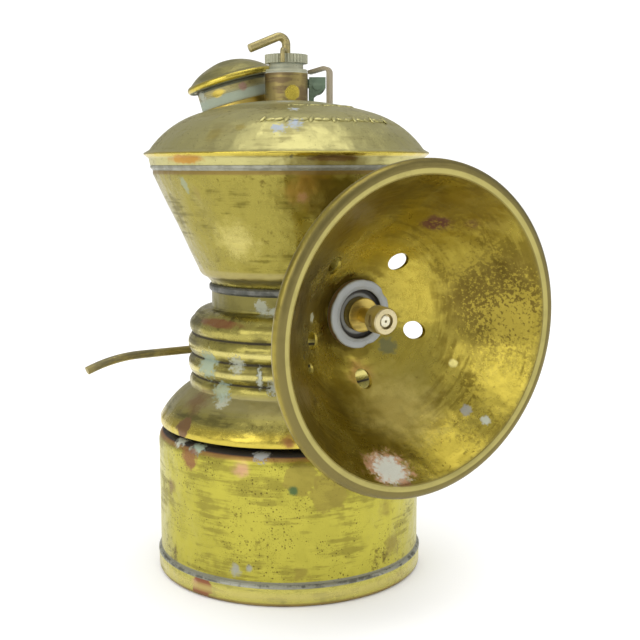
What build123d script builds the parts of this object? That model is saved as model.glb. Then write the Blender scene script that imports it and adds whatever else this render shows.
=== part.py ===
from build123d import *
import os
from math import atan2, cos, degrees, radians, sin, sqrt

# A carbide cap lamp: a carbide chamber below, screwed to a water tank above, with a gas
# burner in a dished reflector between them. Millimetres, +Z up. The origin is the centre of
# the face that the lamp rests on, and the reflector faces -Y.

# ---- sheet, wire and fits -------------------------------------------------------------
SHEET = 0.7  # wall of the drawn brass shells
FIT_GAP = 0.05  # radial clearance of a shaft, pin or screwed part in its bore
SEAT_GAP = 0.05  # space between two faces that close on each other
SIDE_GAP = 0.2  # space beside a part that swings between two others

# ---- carbide chamber ------------------------------------------------------------------
CHAMBER_R = 25.4  # outside of the wall
CHAMBER_H = 27.8  # resting face to the top of the shoulder
SHOULDER_ROUND = 2.2
SHOULDER_W = 4.2  # from the wall in to the screwed neck
NECK_H = 3.8
FOOT_WALL = 0.45  # the bottom cup's skirt stands out by its own wall
FOOT_SKIRT = 3.5
FOOT_ROUND = 0.8
SEAM_W = 0.55  # solder fillet on top of the skirt
SEAM_H = 0.6

# ---- chamber gasket and screwed ring --------------------------------------------------
GASKET_W = 2.4
GASKET_H = 1.55
GASKET_INSET = 0.2
RING_WALL = 0.7
RING_H = 2.6
RING_LIFT = 0.15  # ring's flange above the bell's lower edge

# ---- ribbed collar: bell, ribs and throat ---------------------------------------------
BELL_GAP = 1.05  # bell's edge above the chamber's shoulder
BELL_INSET = 0.4
BELL_EDGE_H = 1.2
BELL_RISE = 6.0
BELL_BOW = 0.55
BELL_W = 6.6  # from the bell's edge in to the ribs' root
RIB_BOW = 1.0
RIB_PITCH = 3.95
RIB_COUNT = 3  # full ribs, between the bell and the top rib
FIRST_RIB_H = 2.35
FIRST_RIB_BOW = 0.45
TOP_RIB_H = 3.0
COLLAR_CROWN_H = 1.9
THROAT_R = 14.7
THROAT_H = 4.5
BAND_W = 0.45  # solder band at the throat's top
BAND_H = 1.5

# ---- felt filter ----------------------------------------------------------------------
FELT_H = 3.0
FELT_LIFT = 1.4  # retaining plate above the top of the bell's curve
PLATE_H = 0.6
PLATE_HOLE_R = 0.9
PLATE_ROWS = ((6.5, 10), (11.0, 16))  # radius of each row of gas holes and their number
SNAP_WIRE_R = 0.55
SNAP_GAP = 30.0  # degrees left open in the snap ring
INSIDE_GAP = 0.25  # round the felt and its plate

# ---- water tank -----------------------------------------------------------------------
TANK_R = 25.4  # outside, at the seam
TANK_FOOT_W = 2.4  # flare from the throat to the cone
TANK_FOOT_H = 2.8
CONE_H = 17.9
CONE_EDGE_H = 1.6  # upright stretch under the seam
TANK_SEAM_W = 0.45
LIP_OUT = 1.6  # folded lip beyond the tank's wall
LIP_H = 2.4
LIP_ROUND = 0.45
DOME_INSET = 0.6  # the dome starts just outside the tank's wall
DOME_RISE = 9.25
CROWN_RADIUS = 57.0
CROWN_EDGE_R = 16.8  # where the flat crown turns into the steeper edge
DOME_EDGE_BOW = 0.93
FLOOR_H = 0.8

# ---- water valve ----------------------------------------------------------------------
ROD_R = 0.8
TUBE_R = 2.0
TUBE_WALL = 0.6
TUBE_END_Z = 9.0
SEAT_R = 3.0
SEAT_H = 4.0
SEAT_MOUTH_R = 1.5
SEAT_HOLE_R = 0.6
SEAT_CONE_H = 1.2
NEEDLE_R = 1.4
NEEDLE_H = 6.0
NEEDLE_SOCKET_H = 4.0
HOUSING_WALL = 0.8  # round the cap's bore
HOUSING_H = 5.2  # above the dome
HOUSING_TAIL = 2.0  # below the dome's top, inside the tank
CAP_SHANK_R = 3.2
CAP_BORE_H = 3.0
PACKING_H = 1.3
WASHER_H = 0.45
WASHER_INSET = 0.15
CAP_SHANK_H = 1.6  # housing's top to the toothed rim
CAP_RIM_R = 4.05
CAP_RIM_H = 1.6
CAP_TEETH = 36
TOOTH_DEPTH = 0.28
LEVER_TOP = 3.3  # top of the cap to the middle of the wire's bend
LEVER_BEND_R = 1.4
LEVER_REACH = 7.4
LEVER_DROP = 2.5  # from the bend's top to the tip
LEVER_AZIMUTH = 172.5
FINGER_R = 0.42
FINGER_AZIMUTH = -129.0
FINGER_LIFT = 0.25
FINGER_DROP = 1.7

# ---- filler, its lid, hinge and spring, in a frame turned about the lamp's axis --------
LID_TURN = -30.5
FILLER_AZIMUTH = 139.1
FILLER_GAP = 1.32  # between the valve's housing and the neck
FILLER_TILT = 15.5
FILLER_R = 7.0
FILLER_TAIL = 1.6
FILLER_H = 5.1
FLANGE_W = 0.65
FLANGE_H = 1.2
LID_BRIM = 1.7  # the lid's edge beyond the neck
LID_BEAD_R = 0.75
LID_OVERHANG = 0.1  # gasket beyond the neck
LID_LIFT = 0.75  # neck's top to the middle of the lid's bead
LID_RISE = 3.9
LID_SHEET = 0.6
PIN_R = 0.6
PIN_AT = (5.9, 93.0)
BARREL_R = 1.6
CHEEK = 0.6
CHEEKS_AT = (1.9, 7.3)  # outer faces of the hinge bracket
CHEEK_BACK = 4.35
CHEEK_REACH = 1.6
ARM_W = 0.75
ARM_H = 0.8  # half of its height
SPRING_AT = (8.3, 3.2)
SPRING_TURN = -20.0
SPRING_W = 2.1
SPRING_T = 0.65
SPRING_CURL_R = 0.95
SPRING_REACH = 3.9
SPRING_SLOPE = 14.0

# ---- burner and reflector, on an axis that droops towards the front ---------------------
BURNER_Z = 53.36
BURNER_DROOP = 2.8
PIPE_R = 2.9
PIPE_BORE_R = 1.9
PIPE_TAIL = 0.6  # inside the throat's wall
SOCKET_R = 3.7
SOCKET_FRONT = 19.4
HUB_FRONT = 23.66
HUB_R = 6.3
DISH_R = 25.4
DISH_DEPTH = 19.98  # hub's front face to the dish's edge
DISH_SHEET = 0.6
BEAD_R = 1.25
BEAD_OUT = 1.29  # middle of the rolled bead beyond the dish's edge
BEAD_BACK = 0.88
HOLE_RING_R = 11.3
HOLE_R = 1.6
HOLE_COUNT = 5
HOLE_START = -90.0
VENT_RING_R = 15.0
VENT_R = 0.95
VENT_ANGLE = -150.0
SEAT_CONE_W = 1.6
SEAT_FACE_H = 0.8
NUT_R = 6.1
NUT_H = 1.55
NUT_RECESS_R = 4.35
NUT_RECESS_H = 0.95
NUT_CHAMFER = 0.3
PIPE_PROUD = 0.2  # pipe's end beyond the nut
TIP_FLANGE_R = 3.05
TIP_FLANGE_H = 0.7
TIP_PLUG_H = 6.0
TIP_STEM_R = 1.35
TIP_STEM_H = 3.3
TIP_CUP_R = 2.4
TIP_CUP_H = 3.4
TIP_MOUTH_R = 1.35
TIP_MOUTH_H = 0.9
AIR_SLOT_W = 0.8
AIR_SLOT_H = 2.1
CERAMIC_R = 1.0
CERAMIC_H = 2.6
CERAMIC_INSET = 0.15
JET_R = 0.25

# ---- cap brace and cap hook ------------------------------------------------------------
BRACE_R = 0.82
BRACE_STRAIGHT = 22.5  # half of the straight stretch
BRACE_BEND_R = 30.0
BRACE_BEND = 22.0
SADDLE_W = 12.0
SADDLE_H = 4.0
SADDLE_PROUD = 0.3
HOOK_W = 9.0
HOOK_T = 1.0
HOOK_LOW = 8.6  # up the cone from its foot to the strip's end
HOOK_LEG = 8.8
HOOK_BEND_R = 2.4
HOOK_BLADE = 12.0

# ---- places worked out from the sizes --------------------------------------------------
neck_r = CHAMBER_R - SHOULDER_W
neck_top = CHAMBER_H + NECK_H
bell_r = CHAMBER_R - BELL_INSET
bell_z = CHAMBER_H + BELL_GAP
bell_curve_z = bell_z + BELL_EDGE_H
ribs_z = bell_curve_z + BELL_RISE
rib_root_r = bell_r - BELL_W
first_root_z = ribs_z + FIRST_RIB_H
top_root_z = first_root_z + (RIB_COUNT - 1) * RIB_PITCH
crown_z = top_root_z + TOP_RIB_H
throat_z = crown_z + COLLAR_CROWN_H
tank_z = throat_z + THROAT_H
collar_bore_r = rib_root_r - SHEET
throat_bore_r = THROAT_R - SHEET
cone_r = THROAT_R + TANK_FOOT_W
cone_z = tank_z + TANK_FOOT_H
cone_top = cone_z + CONE_H
seam_z = cone_top + CONE_EDGE_H
lip_z = seam_z + LIP_H
dome_z = lip_z + LIP_ROUND
dome_top = dome_z + DOME_RISE
floor_top = tank_z + FLOOR_H
seat_top = floor_top + SEAT_H
housing_top = dome_top + HOUSING_H
cap_bore_z = housing_top - CAP_BORE_H
rim_z = housing_top + CAP_SHANK_H
cap_top = rim_z + CAP_RIM_H
lever_z = cap_top + LEVER_TOP
rod_bore_r = ROD_R + FIT_GAP
cap_bore_r = CAP_SHANK_R + FIT_GAP
housing_r = cap_bore_r + HOUSING_WALL
housing_round = min(0.25, HOUSING_WALL / 3)
filler_away = housing_r + FILLER_R + FILLER_GAP
pipe_hole_r = PIPE_R + FIT_GAP
hub_back = HUB_FRONT - DISH_SHEET


# ---- helpers ---------------------------------------------------------------------------
def outline(points):
    """Closed face through (x, y) points; a third number bows that side out to its right."""
    edges = []
    for start, end in zip(points, points[1:] + points[:1]):
        a, b = Vector(*start[:2]), Vector(*end[:2])
        if len(end) == 2:
            edges.append(Line(a, b))
            continue
        side = Vector(b.Y - a.Y, a.X - b.X).normalized()
        edges.append(ThreePointArc(a, (a + b) * 0.5 + side * end[2], b))
    return make_face(edges)


def turned(points):
    """Solid turned about +Z from a (radius, height) outline."""
    return revolve(Plane.XZ * outline(points), Axis.Z)


def ring(inner, outer, low, high):
    """Plain ring or washer about +Z."""
    return turned([(inner, low), (outer, low), (outer, high), (inner, high)])


def rod(radius, low, high):
    """Plain cylinder about +Z."""
    return Pos(0, 0, low) * extrude(Circle(radius), high - low)


def upright(azimuth):
    """Plane through the lamp's axis: its x runs outwards at the azimuth, its y upwards."""
    a = radians(azimuth)
    return Plane((0, 0, 0), x_dir=(cos(a), sin(a), 0), z_dir=(sin(a), -cos(a), 0))


def wire(radius, edges):
    """Round wire along the joined edges."""
    path = Wire(edges)
    return sweep(Plane(path @ 0, z_dir=path % 0) * Circle(radius), path=path)


def slab(points, low, high):
    """Plate cut to an outline in X and Z, between two Y values."""
    return extrude(Plane.XZ.offset(-low) * outline(points), high - low, dir=(0, 1, 0))


def crown_height(radius):
    """Height of the dome's crown at a radius from the lamp's axis."""
    return dome_top - CROWN_RADIUS + sqrt(CROWN_RADIUS**2 - radius**2)


def crown_bow(radius, length):
    """Rise of an arc of this radius over its chord."""
    return radius - sqrt(radius**2 - (length / 2) ** 2)


def cap_bow(reach, rise):
    """Bow of the arc of a round cap that meets its axis square."""
    chord = sqrt(reach**2 + rise**2)
    return crown_bow(chord**2 / (2 * rise), chord)


def cone_radius(height):
    """Outside of the tank's cone at a height."""
    return cone_r + (TANK_R - cone_r) * (height - cone_z) / CONE_H


# ---- frames ----------------------------------------------------------------------------
droop = radians(BURNER_DROOP)
burner = Plane((0, 0, BURNER_Z), x_dir=(1, 0, 0), z_dir=(0, -cos(droop), -sin(droop)))
lid_side = Rot(0, 0, LID_TURN)
filler_turn = radians(FILLER_AZIMUTH)
filler = Pos(filler_away * cos(filler_turn), filler_away * sin(filler_turn), crown_height(filler_away))
filler = filler * Rot(0, -FILLER_TILT, 0)


# ---- carbide chamber -------------------------------------------------------------------
def carbide_chamber():
    """Drawn cup, open below, with a rounded shoulder and a neck that is screwed outside."""
    turn = CHAMBER_H - SHOULDER_ROUND
    bend_r = CHAMBER_R - SHOULDER_ROUND
    bow = SHOULDER_ROUND * (1 - sqrt(0.5))
    inner_bow = (SHOULDER_ROUND - SHEET) * (1 - sqrt(0.5))
    return turned(
        [
            (CHAMBER_R - SHEET, SHEET),
            (CHAMBER_R, SHEET),
            (CHAMBER_R, turn),
            (bend_r, CHAMBER_H, bow),
            (neck_r, CHAMBER_H),
            (neck_r, neck_top),
            (neck_r - SHEET, neck_top),
            (neck_r - SHEET, CHAMBER_H - SHEET),
            (bend_r, CHAMBER_H - SHEET),
            (CHAMBER_R - SHEET, turn, -inner_bow),
        ]
    )


def chamber_bottom():
    """Pressed cup soldered round the chamber's lower edge; the lamp rests on it."""
    outer = CHAMBER_R + FOOT_WALL
    return turned(
        [
            (0, 0),
            (outer - FOOT_ROUND, 0),
            (outer, FOOT_ROUND, FOOT_ROUND * (1 - sqrt(0.5))),
            (outer, FOOT_SKIRT),
            (CHAMBER_R, FOOT_SKIRT),
            (CHAMBER_R, SHEET),
            (0, SHEET),
        ]
    )


def bottom_seam():
    """Fillet of solder along the skirt's top edge."""
    corner = (CHAMBER_R, FOOT_SKIRT + SEAM_H, 0.1)
    return turned([(CHAMBER_R, FOOT_SKIRT), (CHAMBER_R + SEAM_W, FOOT_SKIRT), corner])


def chamber_gasket():
    """Rubber ring between the chamber's neck and the bell."""
    low = neck_top + SEAT_GAP
    outer = neck_r - GASKET_INSET
    return ring(outer - GASKET_W, outer, low, low + GASKET_H)


# ---- ribbed collar ---------------------------------------------------------------------
def rib_points():
    """Roots of the ribs, from the bell up, each with the bow of the rib below it."""
    points = [(rib_root_r, first_root_z, FIRST_RIB_BOW)]
    for index in range(1, RIB_COUNT):
        points.append((rib_root_r, first_root_z + index * RIB_PITCH, RIB_BOW))
    return points


def collar_shape():
    """Outside of the collar's sheet, from the bell's edge up to the throat's top."""
    return (
        [
            (bell_r, bell_z),
            (bell_r, bell_curve_z),
            (rib_root_r + 0.7, ribs_z, BELL_BOW),
        ]
        + rib_points()
        + [
            (rib_root_r - 0.2, crown_z, 0.75),
            (THROAT_R + 0.3, throat_z - 0.2, 0.6),
            (THROAT_R, throat_z + 0.1),
            (THROAT_R, tank_z),
        ]
    )


def collar_core():
    """The collar with no hollow, to cut what fits round it."""
    return turned([(0, bell_z)] + collar_shape() + [(0, tank_z)])


def ribbed_collar():
    """Bell, ribs and throat in one drawn sheet, pierced for the burner pipe."""
    inside = [
        (throat_bore_r, tank_z),
        (throat_bore_r, throat_z - SHEET),
        (collar_bore_r, crown_z),
        (collar_bore_r, ribs_z + 0.15),
        (bell_r - SHEET, bell_curve_z, 0.1 - BELL_BOW),
        (bell_r - SHEET, bell_z),
    ]
    return turned(collar_shape() + inside) - burner * rod(PIPE_R, 0, SOCKET_FRONT)


def thread_ring():
    """Screwed ring soldered inside the bell; it turns on the chamber's neck."""
    bore = neck_r + FIT_GAP
    low = bell_z + RING_LIFT
    return turned(
        [
            (bore, low),
            (bell_r - SHEET, low),
            (bell_r - SHEET, low + RING_WALL),
            (bore + RING_WALL, low + RING_WALL),
            (bore + RING_WALL, low + RING_H),
            (bore, low + RING_H),
        ]
    )


def neck_solder():
    """Dark band of solder round the throat, under the tank."""
    slope = BAND_W * 0.9
    band = turned(
        [
            (THROAT_R, tank_z - BAND_H),
            (THROAT_R + BAND_W, tank_z - BAND_H + slope, 0.05),
            (THROAT_R + BAND_W, tank_z - slope),
            (THROAT_R, tank_z, 0.05),
        ]
    )
    return band - burner * rod(SOCKET_R, 0, SOCKET_FRONT)


# ---- felt filter -----------------------------------------------------------------------
plate_z = ribs_z + FELT_LIFT
insert_r = collar_bore_r - INSIDE_GAP
tube_hole_r = TUBE_R + INSIDE_GAP


def felt_filter():
    """Thick felt disc that cleans the gas, with a hole for the water tube."""
    return ring(tube_hole_r, insert_r, plate_z + PLATE_H, plate_z + PLATE_H + FELT_H)


def felt_retainer():
    """Pierced brass plate under the felt."""
    plate = ring(tube_hole_r, insert_r, plate_z, plate_z + PLATE_H)
    for radius, count in PLATE_ROWS:
        plate -= PolarLocations(radius, count) * rod(PLATE_HOLE_R, plate_z, plate_z + PLATE_H)
    return plate


def retainer_ring():
    """Sprung wire ring that holds the plate up inside the collar."""
    radius = collar_bore_r - SNAP_WIRE_R - FIT_GAP
    arc = CenterArc((0, 0), radius, 90 + SNAP_GAP / 2, 360 - SNAP_GAP)
    return Pos(0, 0, plate_z - SNAP_WIRE_R) * wire(SNAP_WIRE_R, [arc])


# ---- water tank ------------------------------------------------------------------------
def cone_shape():
    """Outside of the tank's cone, from the throat up to the seam."""
    return [
        (THROAT_R, tank_z),
        (THROAT_R + TANK_FOOT_W * 0.67, tank_z + TANK_FOOT_H * 0.57, -0.25),
        (cone_r, cone_z, 0.12),
        (TANK_R, cone_top),
        (TANK_R, seam_z),
    ]


def cone_core():
    """The cone with no hollow, to cut what lies against it."""
    return turned([(0, tank_z)] + cone_shape() + [(0, seam_z)])


def tank_cone():
    """Tapered wall of the water tank, standing on the throat."""
    inside = [
        (TANK_R - SHEET, seam_z),
        (TANK_R - SHEET, cone_top),
        (cone_r - SHEET * 1.1, cone_z),
        (throat_bore_r, floor_top),
        (throat_bore_r, tank_z),
    ]
    return turned(cone_shape() + inside)


def tank_floor():
    """Disc soldered in the cone's narrow end, pierced for the water tube."""
    return ring(TUBE_R, throat_bore_r, tank_z, floor_top)


def tank_seam():
    """Solder under the dome's skirt."""
    return turned(
        [
            (TANK_R, seam_z - TANK_SEAM_W * 2),
            (TANK_R + TANK_SEAM_W, seam_z - TANK_SEAM_W * 0.9),
            (TANK_R + TANK_SEAM_W, seam_z),
            (TANK_R, seam_z),
        ]
    )


def dome_shape(inset):
    """Crown and edge of the dome, from the rim in to the axis, lowered by an inset."""
    start = (TANK_R + DOME_INSET - inset * 0.8, dome_z - inset * 0.6)
    turn = (CROWN_EDGE_R - inset * 0.3, crown_height(CROWN_EDGE_R) - inset * 0.95)
    crown = crown_bow(CROWN_RADIUS - inset, turn[0])
    return start, turn, crown


def dome_outside():
    """Dome's outside, from the skirt's lower edge up over the lip to the axis."""
    start, turn, crown = dome_shape(0)
    lip_r = TANK_R + LIP_OUT
    return [
        (TANK_R + TANK_SEAM_W, seam_z),
        (TANK_R + LIP_OUT * 0.45, seam_z + LIP_H * 0.55),
        (lip_r, lip_z - LIP_ROUND),
        (lip_r - LIP_ROUND * 0.4, lip_z, 0.12),
        start,
        (*turn, DOME_EDGE_BOW),
        (0, dome_top, crown),
    ]


def dome_core():
    """The dome with no hollow, to cut what stands on it."""
    return turned([(0, seam_z)] + dome_outside())


def tank_dome():
    """Top of the tank, folded over a lip, with holes for the valve and the filler."""
    start, turn, crown = dome_shape(SHEET)
    inside = [
        (0, dome_top - SHEET),
        (*turn, -crown),
        (*start, -DOME_EDGE_BOW),
        (TANK_R - SHEET, seam_z + LIP_H * 0.5),
        (TANK_R - SHEET, seam_z),
    ]
    shell = turned(dome_outside() + inside)
    shell -= rod(housing_r, seam_z, housing_top)
    return shell - lid_side * filler * rod(FILLER_R, -FILLER_TAIL * 3, FILLER_H)


# ---- water valve -----------------------------------------------------------------------
def water_tube():
    """Tube that drips water from the tank's floor down into the carbide."""
    return ring(TUBE_R - TUBE_WALL, TUBE_R, TUBE_END_Z, floor_top)


def valve_seat():
    """Seat on the tank's floor, with a cone for the needle."""
    return turned(
        [
            (SEAT_HOLE_R, floor_top),
            (SEAT_R, floor_top),
            (SEAT_R, floor_top + SEAT_H * 0.4),
            (SEAT_R * 0.72, seat_top),
            (SEAT_MOUTH_R, seat_top),
            (SEAT_HOLE_R, seat_top - SEAT_CONE_H),
        ]
    )


def valve_needle():
    """Coned needle that closes the seat, with a socket for the lever's rod."""
    top = seat_top + NEEDLE_H
    floor = top - NEEDLE_SOCKET_H
    return turned(
        [
            (0, seat_top - SEAT_CONE_H + SEAT_GAP),
            (SEAT_HOLE_R - SEAT_GAP, seat_top - SEAT_CONE_H + SEAT_GAP),
            (NEEDLE_R, seat_top + SEAT_GAP),
            (NEEDLE_R, top),
            (rod_bore_r, top),
            (rod_bore_r, floor),
            (0, floor),
        ]
    )


def valve_housing():
    """Round boss through the dome that guides the rod and takes the packing cap."""
    return turned(
        [
            (rod_bore_r, dome_top - HOUSING_TAIL),
            (housing_r, dome_top - HOUSING_TAIL),
            (housing_r, housing_top - housing_round),
            (housing_r - housing_round, housing_top, housing_round * 0.28),
            (cap_bore_r, housing_top),
            (cap_bore_r, cap_bore_z),
            (rod_bore_r, cap_bore_z),
        ]
    )


def stem_packing():
    """Graphited yarn round the rod, squeezed by the packing cap."""
    return ring(rod_bore_r, cap_bore_r, cap_bore_z, cap_bore_z + PACKING_H)


def packing_washer():
    """Thin washer on top of the housing."""
    return ring(cap_bore_r, housing_r - WASHER_INSET, housing_top, housing_top + WASHER_H)


def packing_cap():
    """Screwed cap with a toothed rim, for the lever's finger to click over."""
    cap = ring(rod_bore_r, CAP_SHANK_R, cap_bore_z + PACKING_H + SEAT_GAP, rim_z)
    rim = ring(rod_bore_r, CAP_RIM_R, rim_z, cap_top)
    notch = Pos(CAP_RIM_R, 0, rim_z) * Rot(0, 0, 45)
    notch = notch * extrude(Rectangle(TOOTH_DEPTH * 1.42, TOOTH_DEPTH * 1.42), CAP_RIM_H)
    return cap + rim - PolarLocations(0, CAP_TEETH) * notch


def water_lever():
    """Valve rod of bent wire: its top end is the lever that sets the drip."""
    foot = seat_top + NEEDLE_H - NEEDLE_SOCKET_H + SEAT_GAP
    bend_z = lever_z - LEVER_BEND_R
    slope = degrees(atan2(LEVER_DROP, LEVER_REACH - LEVER_BEND_R))
    bend = JernArc((0, bend_z), (0, 1), LEVER_BEND_R, -(90 + slope))
    arm = Line(bend @ 1, (LEVER_REACH, lever_z - LEVER_DROP))
    plane = upright(LEVER_AZIMUTH)
    return wire(ROD_R, [plane * Line((0, foot), (0, bend_z)), plane * bend, plane * arm])


def click_finger():
    """Stub of wire soldered to the lever, reaching down over the cap's teeth."""
    high = cap_top + FINGER_LIFT + FINGER_R
    out = CAP_RIM_R + SIDE_GAP + FINGER_R
    path = FilletPolyline((0, high), (out, high), (out, cap_top - FINGER_DROP), radius=0.6)
    finger = wire(FINGER_R, [upright(FINGER_AZIMUTH) * edge for edge in path.edges()])
    return finger - rod(ROD_R, cap_top, lever_z)


# ---- filler, lid, hinge and spring -----------------------------------------------------
lid_s = FILLER_H + LID_LIFT
lid_seat_r = FILLER_R + LID_OVERHANG
lid_r = FILLER_R + LID_BRIM


def filler_neck():
    """Leaning neck that the tank is filled through."""
    return lid_side * filler * ring(FILLER_R - SHEET, FILLER_R, -FILLER_TAIL, FILLER_H)


def filler_flange():
    """Coned ring round the foot of the neck."""
    flange = turned(
        [
            (FILLER_R, -FILLER_TAIL),
            (FILLER_R + FLANGE_W * 1.6, -FILLER_TAIL),
            (FILLER_R + FLANGE_W * 0.5, FLANGE_H),
            (FILLER_R, FLANGE_H + 0.1),
        ]
    )
    return lid_side * filler * flange - dome_core()


def filler_lid():
    """Domed lid with a rolled edge."""
    bead = lid_r - LID_BEAD_R
    top = lid_s + LID_RISE
    lid = turned(
        [
            (0, top - LID_SHEET),
            (lid_seat_r, lid_s + 0.1, -cap_bow(lid_seat_r, LID_RISE - LID_SHEET - 0.1)),
            (lid_seat_r, lid_s - LID_BEAD_R * 0.4),
            (bead, lid_s - LID_BEAD_R, 0.05),
            (lid_r, lid_s, LID_BEAD_R * (1 - sqrt(0.5))),
            (bead, lid_s + LID_BEAD_R, LID_BEAD_R * (1 - sqrt(0.5))),
            (0, top, cap_bow(bead, LID_RISE - LID_BEAD_R)),
        ]
    )
    return lid_side * filler * lid


def lid_gasket():
    """Cork pressed into the lid, seated on the neck's edge."""
    low = FILLER_H + SEAT_GAP
    cork = turned(
        [
            (0, low),
            (lid_seat_r, low),
            (lid_seat_r, lid_s + 0.1),
            (0, lid_s + LID_RISE - LID_SHEET, cap_bow(lid_seat_r, LID_RISE - LID_SHEET - 0.1)),
        ]
    )
    return lid_side * filler * cork


def crosswise(radius, low, high):
    """Cylinder on the hinge's axis between two distances from the lamp's middle plane."""
    return Pos(PIN_AT[0], low, PIN_AT[1]) * Rot(-90, 0, 0) * rod(radius, 0, high - low)


def lid_arm():
    """Arm from the lid's edge to a barrel that turns on the hinge pin."""
    near = CHEEKS_AT[0] + CHEEK + SIDE_GAP
    far = CHEEKS_AT[1] - CHEEK - SIDE_GAP
    edge = (filler * Pos(lid_r - LID_BEAD_R, 0, lid_s)).position
    along = Vector(edge.X - PIN_AT[0], edge.Z - PIN_AT[1]).normalized()
    across = Vector(-along.Y, along.X) * ARM_H
    pin, end = Vector(*PIN_AT), Vector(edge.X, edge.Z)
    corners = [pin + across, end + across, end - across, pin - across]
    arm = slab([(c.X, c.Y) for c in corners], far - ARM_W, far)
    arm = arm + crosswise(BARREL_R, near, far) - crosswise(PIN_R + FIT_GAP, near, far)
    return lid_side * arm - filler_lid() - lid_gasket()


def hinge_bracket():
    """Folded bracket on the dome: two cheeks joined by a foot."""
    x, z = PIN_AT
    foot_z = crown_height(CHEEK_BACK)
    cheek = [
        (CHEEK_BACK, foot_z - SHEET * 2),
        (CHEEK_BACK + 0.75, foot_z - SHEET * 2),
        (CHEEK_BACK + 0.95, foot_z + 1.0),
        (x + CHEEK_REACH, z - 0.5),
        (x + CHEEK_REACH, z + CHEEK_REACH),
        (CHEEK_BACK, z + CHEEK_REACH),
    ]
    near, far = CHEEKS_AT
    foot = cheek[:2] + [(CHEEK_BACK + 0.85, foot_z + 0.6), (CHEEK_BACK, foot_z + 0.6)]
    bracket = slab(cheek, near, near + CHEEK) + slab(cheek, far - CHEEK, far)
    bracket = bracket + slab(foot, near, far) - crosswise(PIN_R, near, far)
    return lid_side * bracket - dome_core()


def hinge_pin():
    """Riveted pin of the lid's hinge."""
    head = PIN_R + 0.25
    near, far = CHEEKS_AT
    pin = crosswise(PIN_R, near - 0.3, far + 0.3)
    return lid_side * (pin + crosswise(head, near - 0.3, near) + crosswise(head, far, far + 0.3))


def lid_spring():
    """Flat spring on the dome, curled over to press on the hinge barrel."""
    reach = sqrt(SPRING_AT[0] ** 2 + SPRING_AT[1] ** 2)
    foot = crown_height(reach) - SHEET * 2
    press_z = PIN_AT[1] + BARREL_R + SIDE_GAP + SPRING_T
    top = press_z + SPRING_REACH * sin(radians(SPRING_SLOPE)) - SPRING_CURL_R
    curl = JernArc((0, top), (0, 1), SPRING_CURL_R, 90 + SPRING_SLOPE)
    run = (SPRING_REACH - SPRING_CURL_R) / cos(radians(SPRING_SLOPE))
    blade = Line(curl @ 1, (curl @ 1) + (curl % 1) * run)
    edges = [Plane.XZ * edge for edge in (Line((0, foot), (0, top)), curl, blade)]
    path = Wire(edges)
    strip = sweep(Plane(path @ 0, z_dir=path % 0) * Rectangle(SPRING_T, SPRING_W), path=path)
    return lid_side * Pos(*SPRING_AT, 0) * Rot(0, 0, SPRING_TURN) * strip - dome_core()


# ---- burner and reflector --------------------------------------------------------------
def burner_socket():
    """Boss soldered to the throat, coped to fit it, that carries the burner pipe."""
    boss = burner * ring(PIPE_R, SOCKET_R, throat_bore_r - 1, SOCKET_FRONT)
    return boss - collar_core() - cone_core()


def burner_pipe():
    """Gas pipe from the throat out through the reflector, screwed for the nut."""
    front = HUB_FRONT + NUT_H + PIPE_PROUD
    return burner * ring(PIPE_BORE_R, PIPE_R, throat_bore_r - PIPE_TAIL, front)


def reflector_seat():
    """Flared washer behind the reflector."""
    return burner * turned(
        [
            (PIPE_R, SOCKET_FRONT),
            (HUB_R - SEAT_CONE_W, SOCKET_FRONT),
            (HUB_R, hub_back - SEAT_FACE_H),
            (HUB_R, hub_back - SEAT_GAP),
            (PIPE_R, hub_back - SEAT_GAP),
        ]
    )


def bowl(start, end):
    """Stretch of a parabola about the axis, between two (radius, depth) points."""
    (r0, t0), (r1, t1) = start, end
    curve = (t1 - t0) / (r1**2 - r0**2)
    return Bezier(start, ((r0 + r1) / 2, t0 + curve * r0 * (r1 - r0)), end)


def reflector():
    """Parabolic dish with a flat hub, a rolled bead and its drilled holes."""
    bead_r = DISH_R + BEAD_OUT
    bead_t = HUB_FRONT + DISH_DEPTH - BEAD_BACK
    edge = (DISH_R, HUB_FRONT + DISH_DEPTH)
    top = (bead_r, bead_t + BEAD_R)
    turn = radians(-38)
    below = (bead_r + BEAD_R * cos(turn), bead_t + BEAD_R * sin(turn))
    back_edge = (bead_r - BEAD_R * cos(radians(14)), bead_t - BEAD_R * sin(radians(14)))
    hub_front, hub_rear = (HUB_R, HUB_FRONT), (HUB_R + 0.15, hub_back)
    face = make_face(
        [
            Line((pipe_hole_r, hub_back), (pipe_hole_r, HUB_FRONT)),
            Line((pipe_hole_r, HUB_FRONT), hub_front),
            bowl(hub_front, edge),
            Line(edge, top),
            ThreePointArc(top, below, back_edge),
            bowl(hub_rear, back_edge),
            Line(hub_rear, (pipe_hole_r, hub_back)),
        ]
    )
    dish = revolve(Plane.XZ * face, Axis.Z)
    through = rod(HOLE_R, hub_back, HUB_FRONT + DISH_DEPTH)
    dish -= PolarLocations(HOLE_RING_R, HOLE_COUNT, start_angle=HOLE_START) * through
    vent = PolarLocations(VENT_RING_R, 1, start_angle=VENT_ANGLE)
    return burner * (dish - vent * rod(VENT_R, hub_back, HUB_FRONT + DISH_DEPTH))


def reflector_nut():
    """Round nut with a sunk face that holds the reflector on the pipe."""
    low, high = HUB_FRONT + SEAT_GAP, HUB_FRONT + NUT_H
    return burner * turned(
        [
            (pipe_hole_r, low),
            (NUT_R, low),
            (NUT_R, high - NUT_CHAMFER),
            (NUT_R - NUT_CHAMFER, high),
            (NUT_RECESS_R, high),
            (NUT_RECESS_R, high - NUT_RECESS_H),
            (pipe_hole_r, high - NUT_RECESS_H),
        ]
    )


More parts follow.
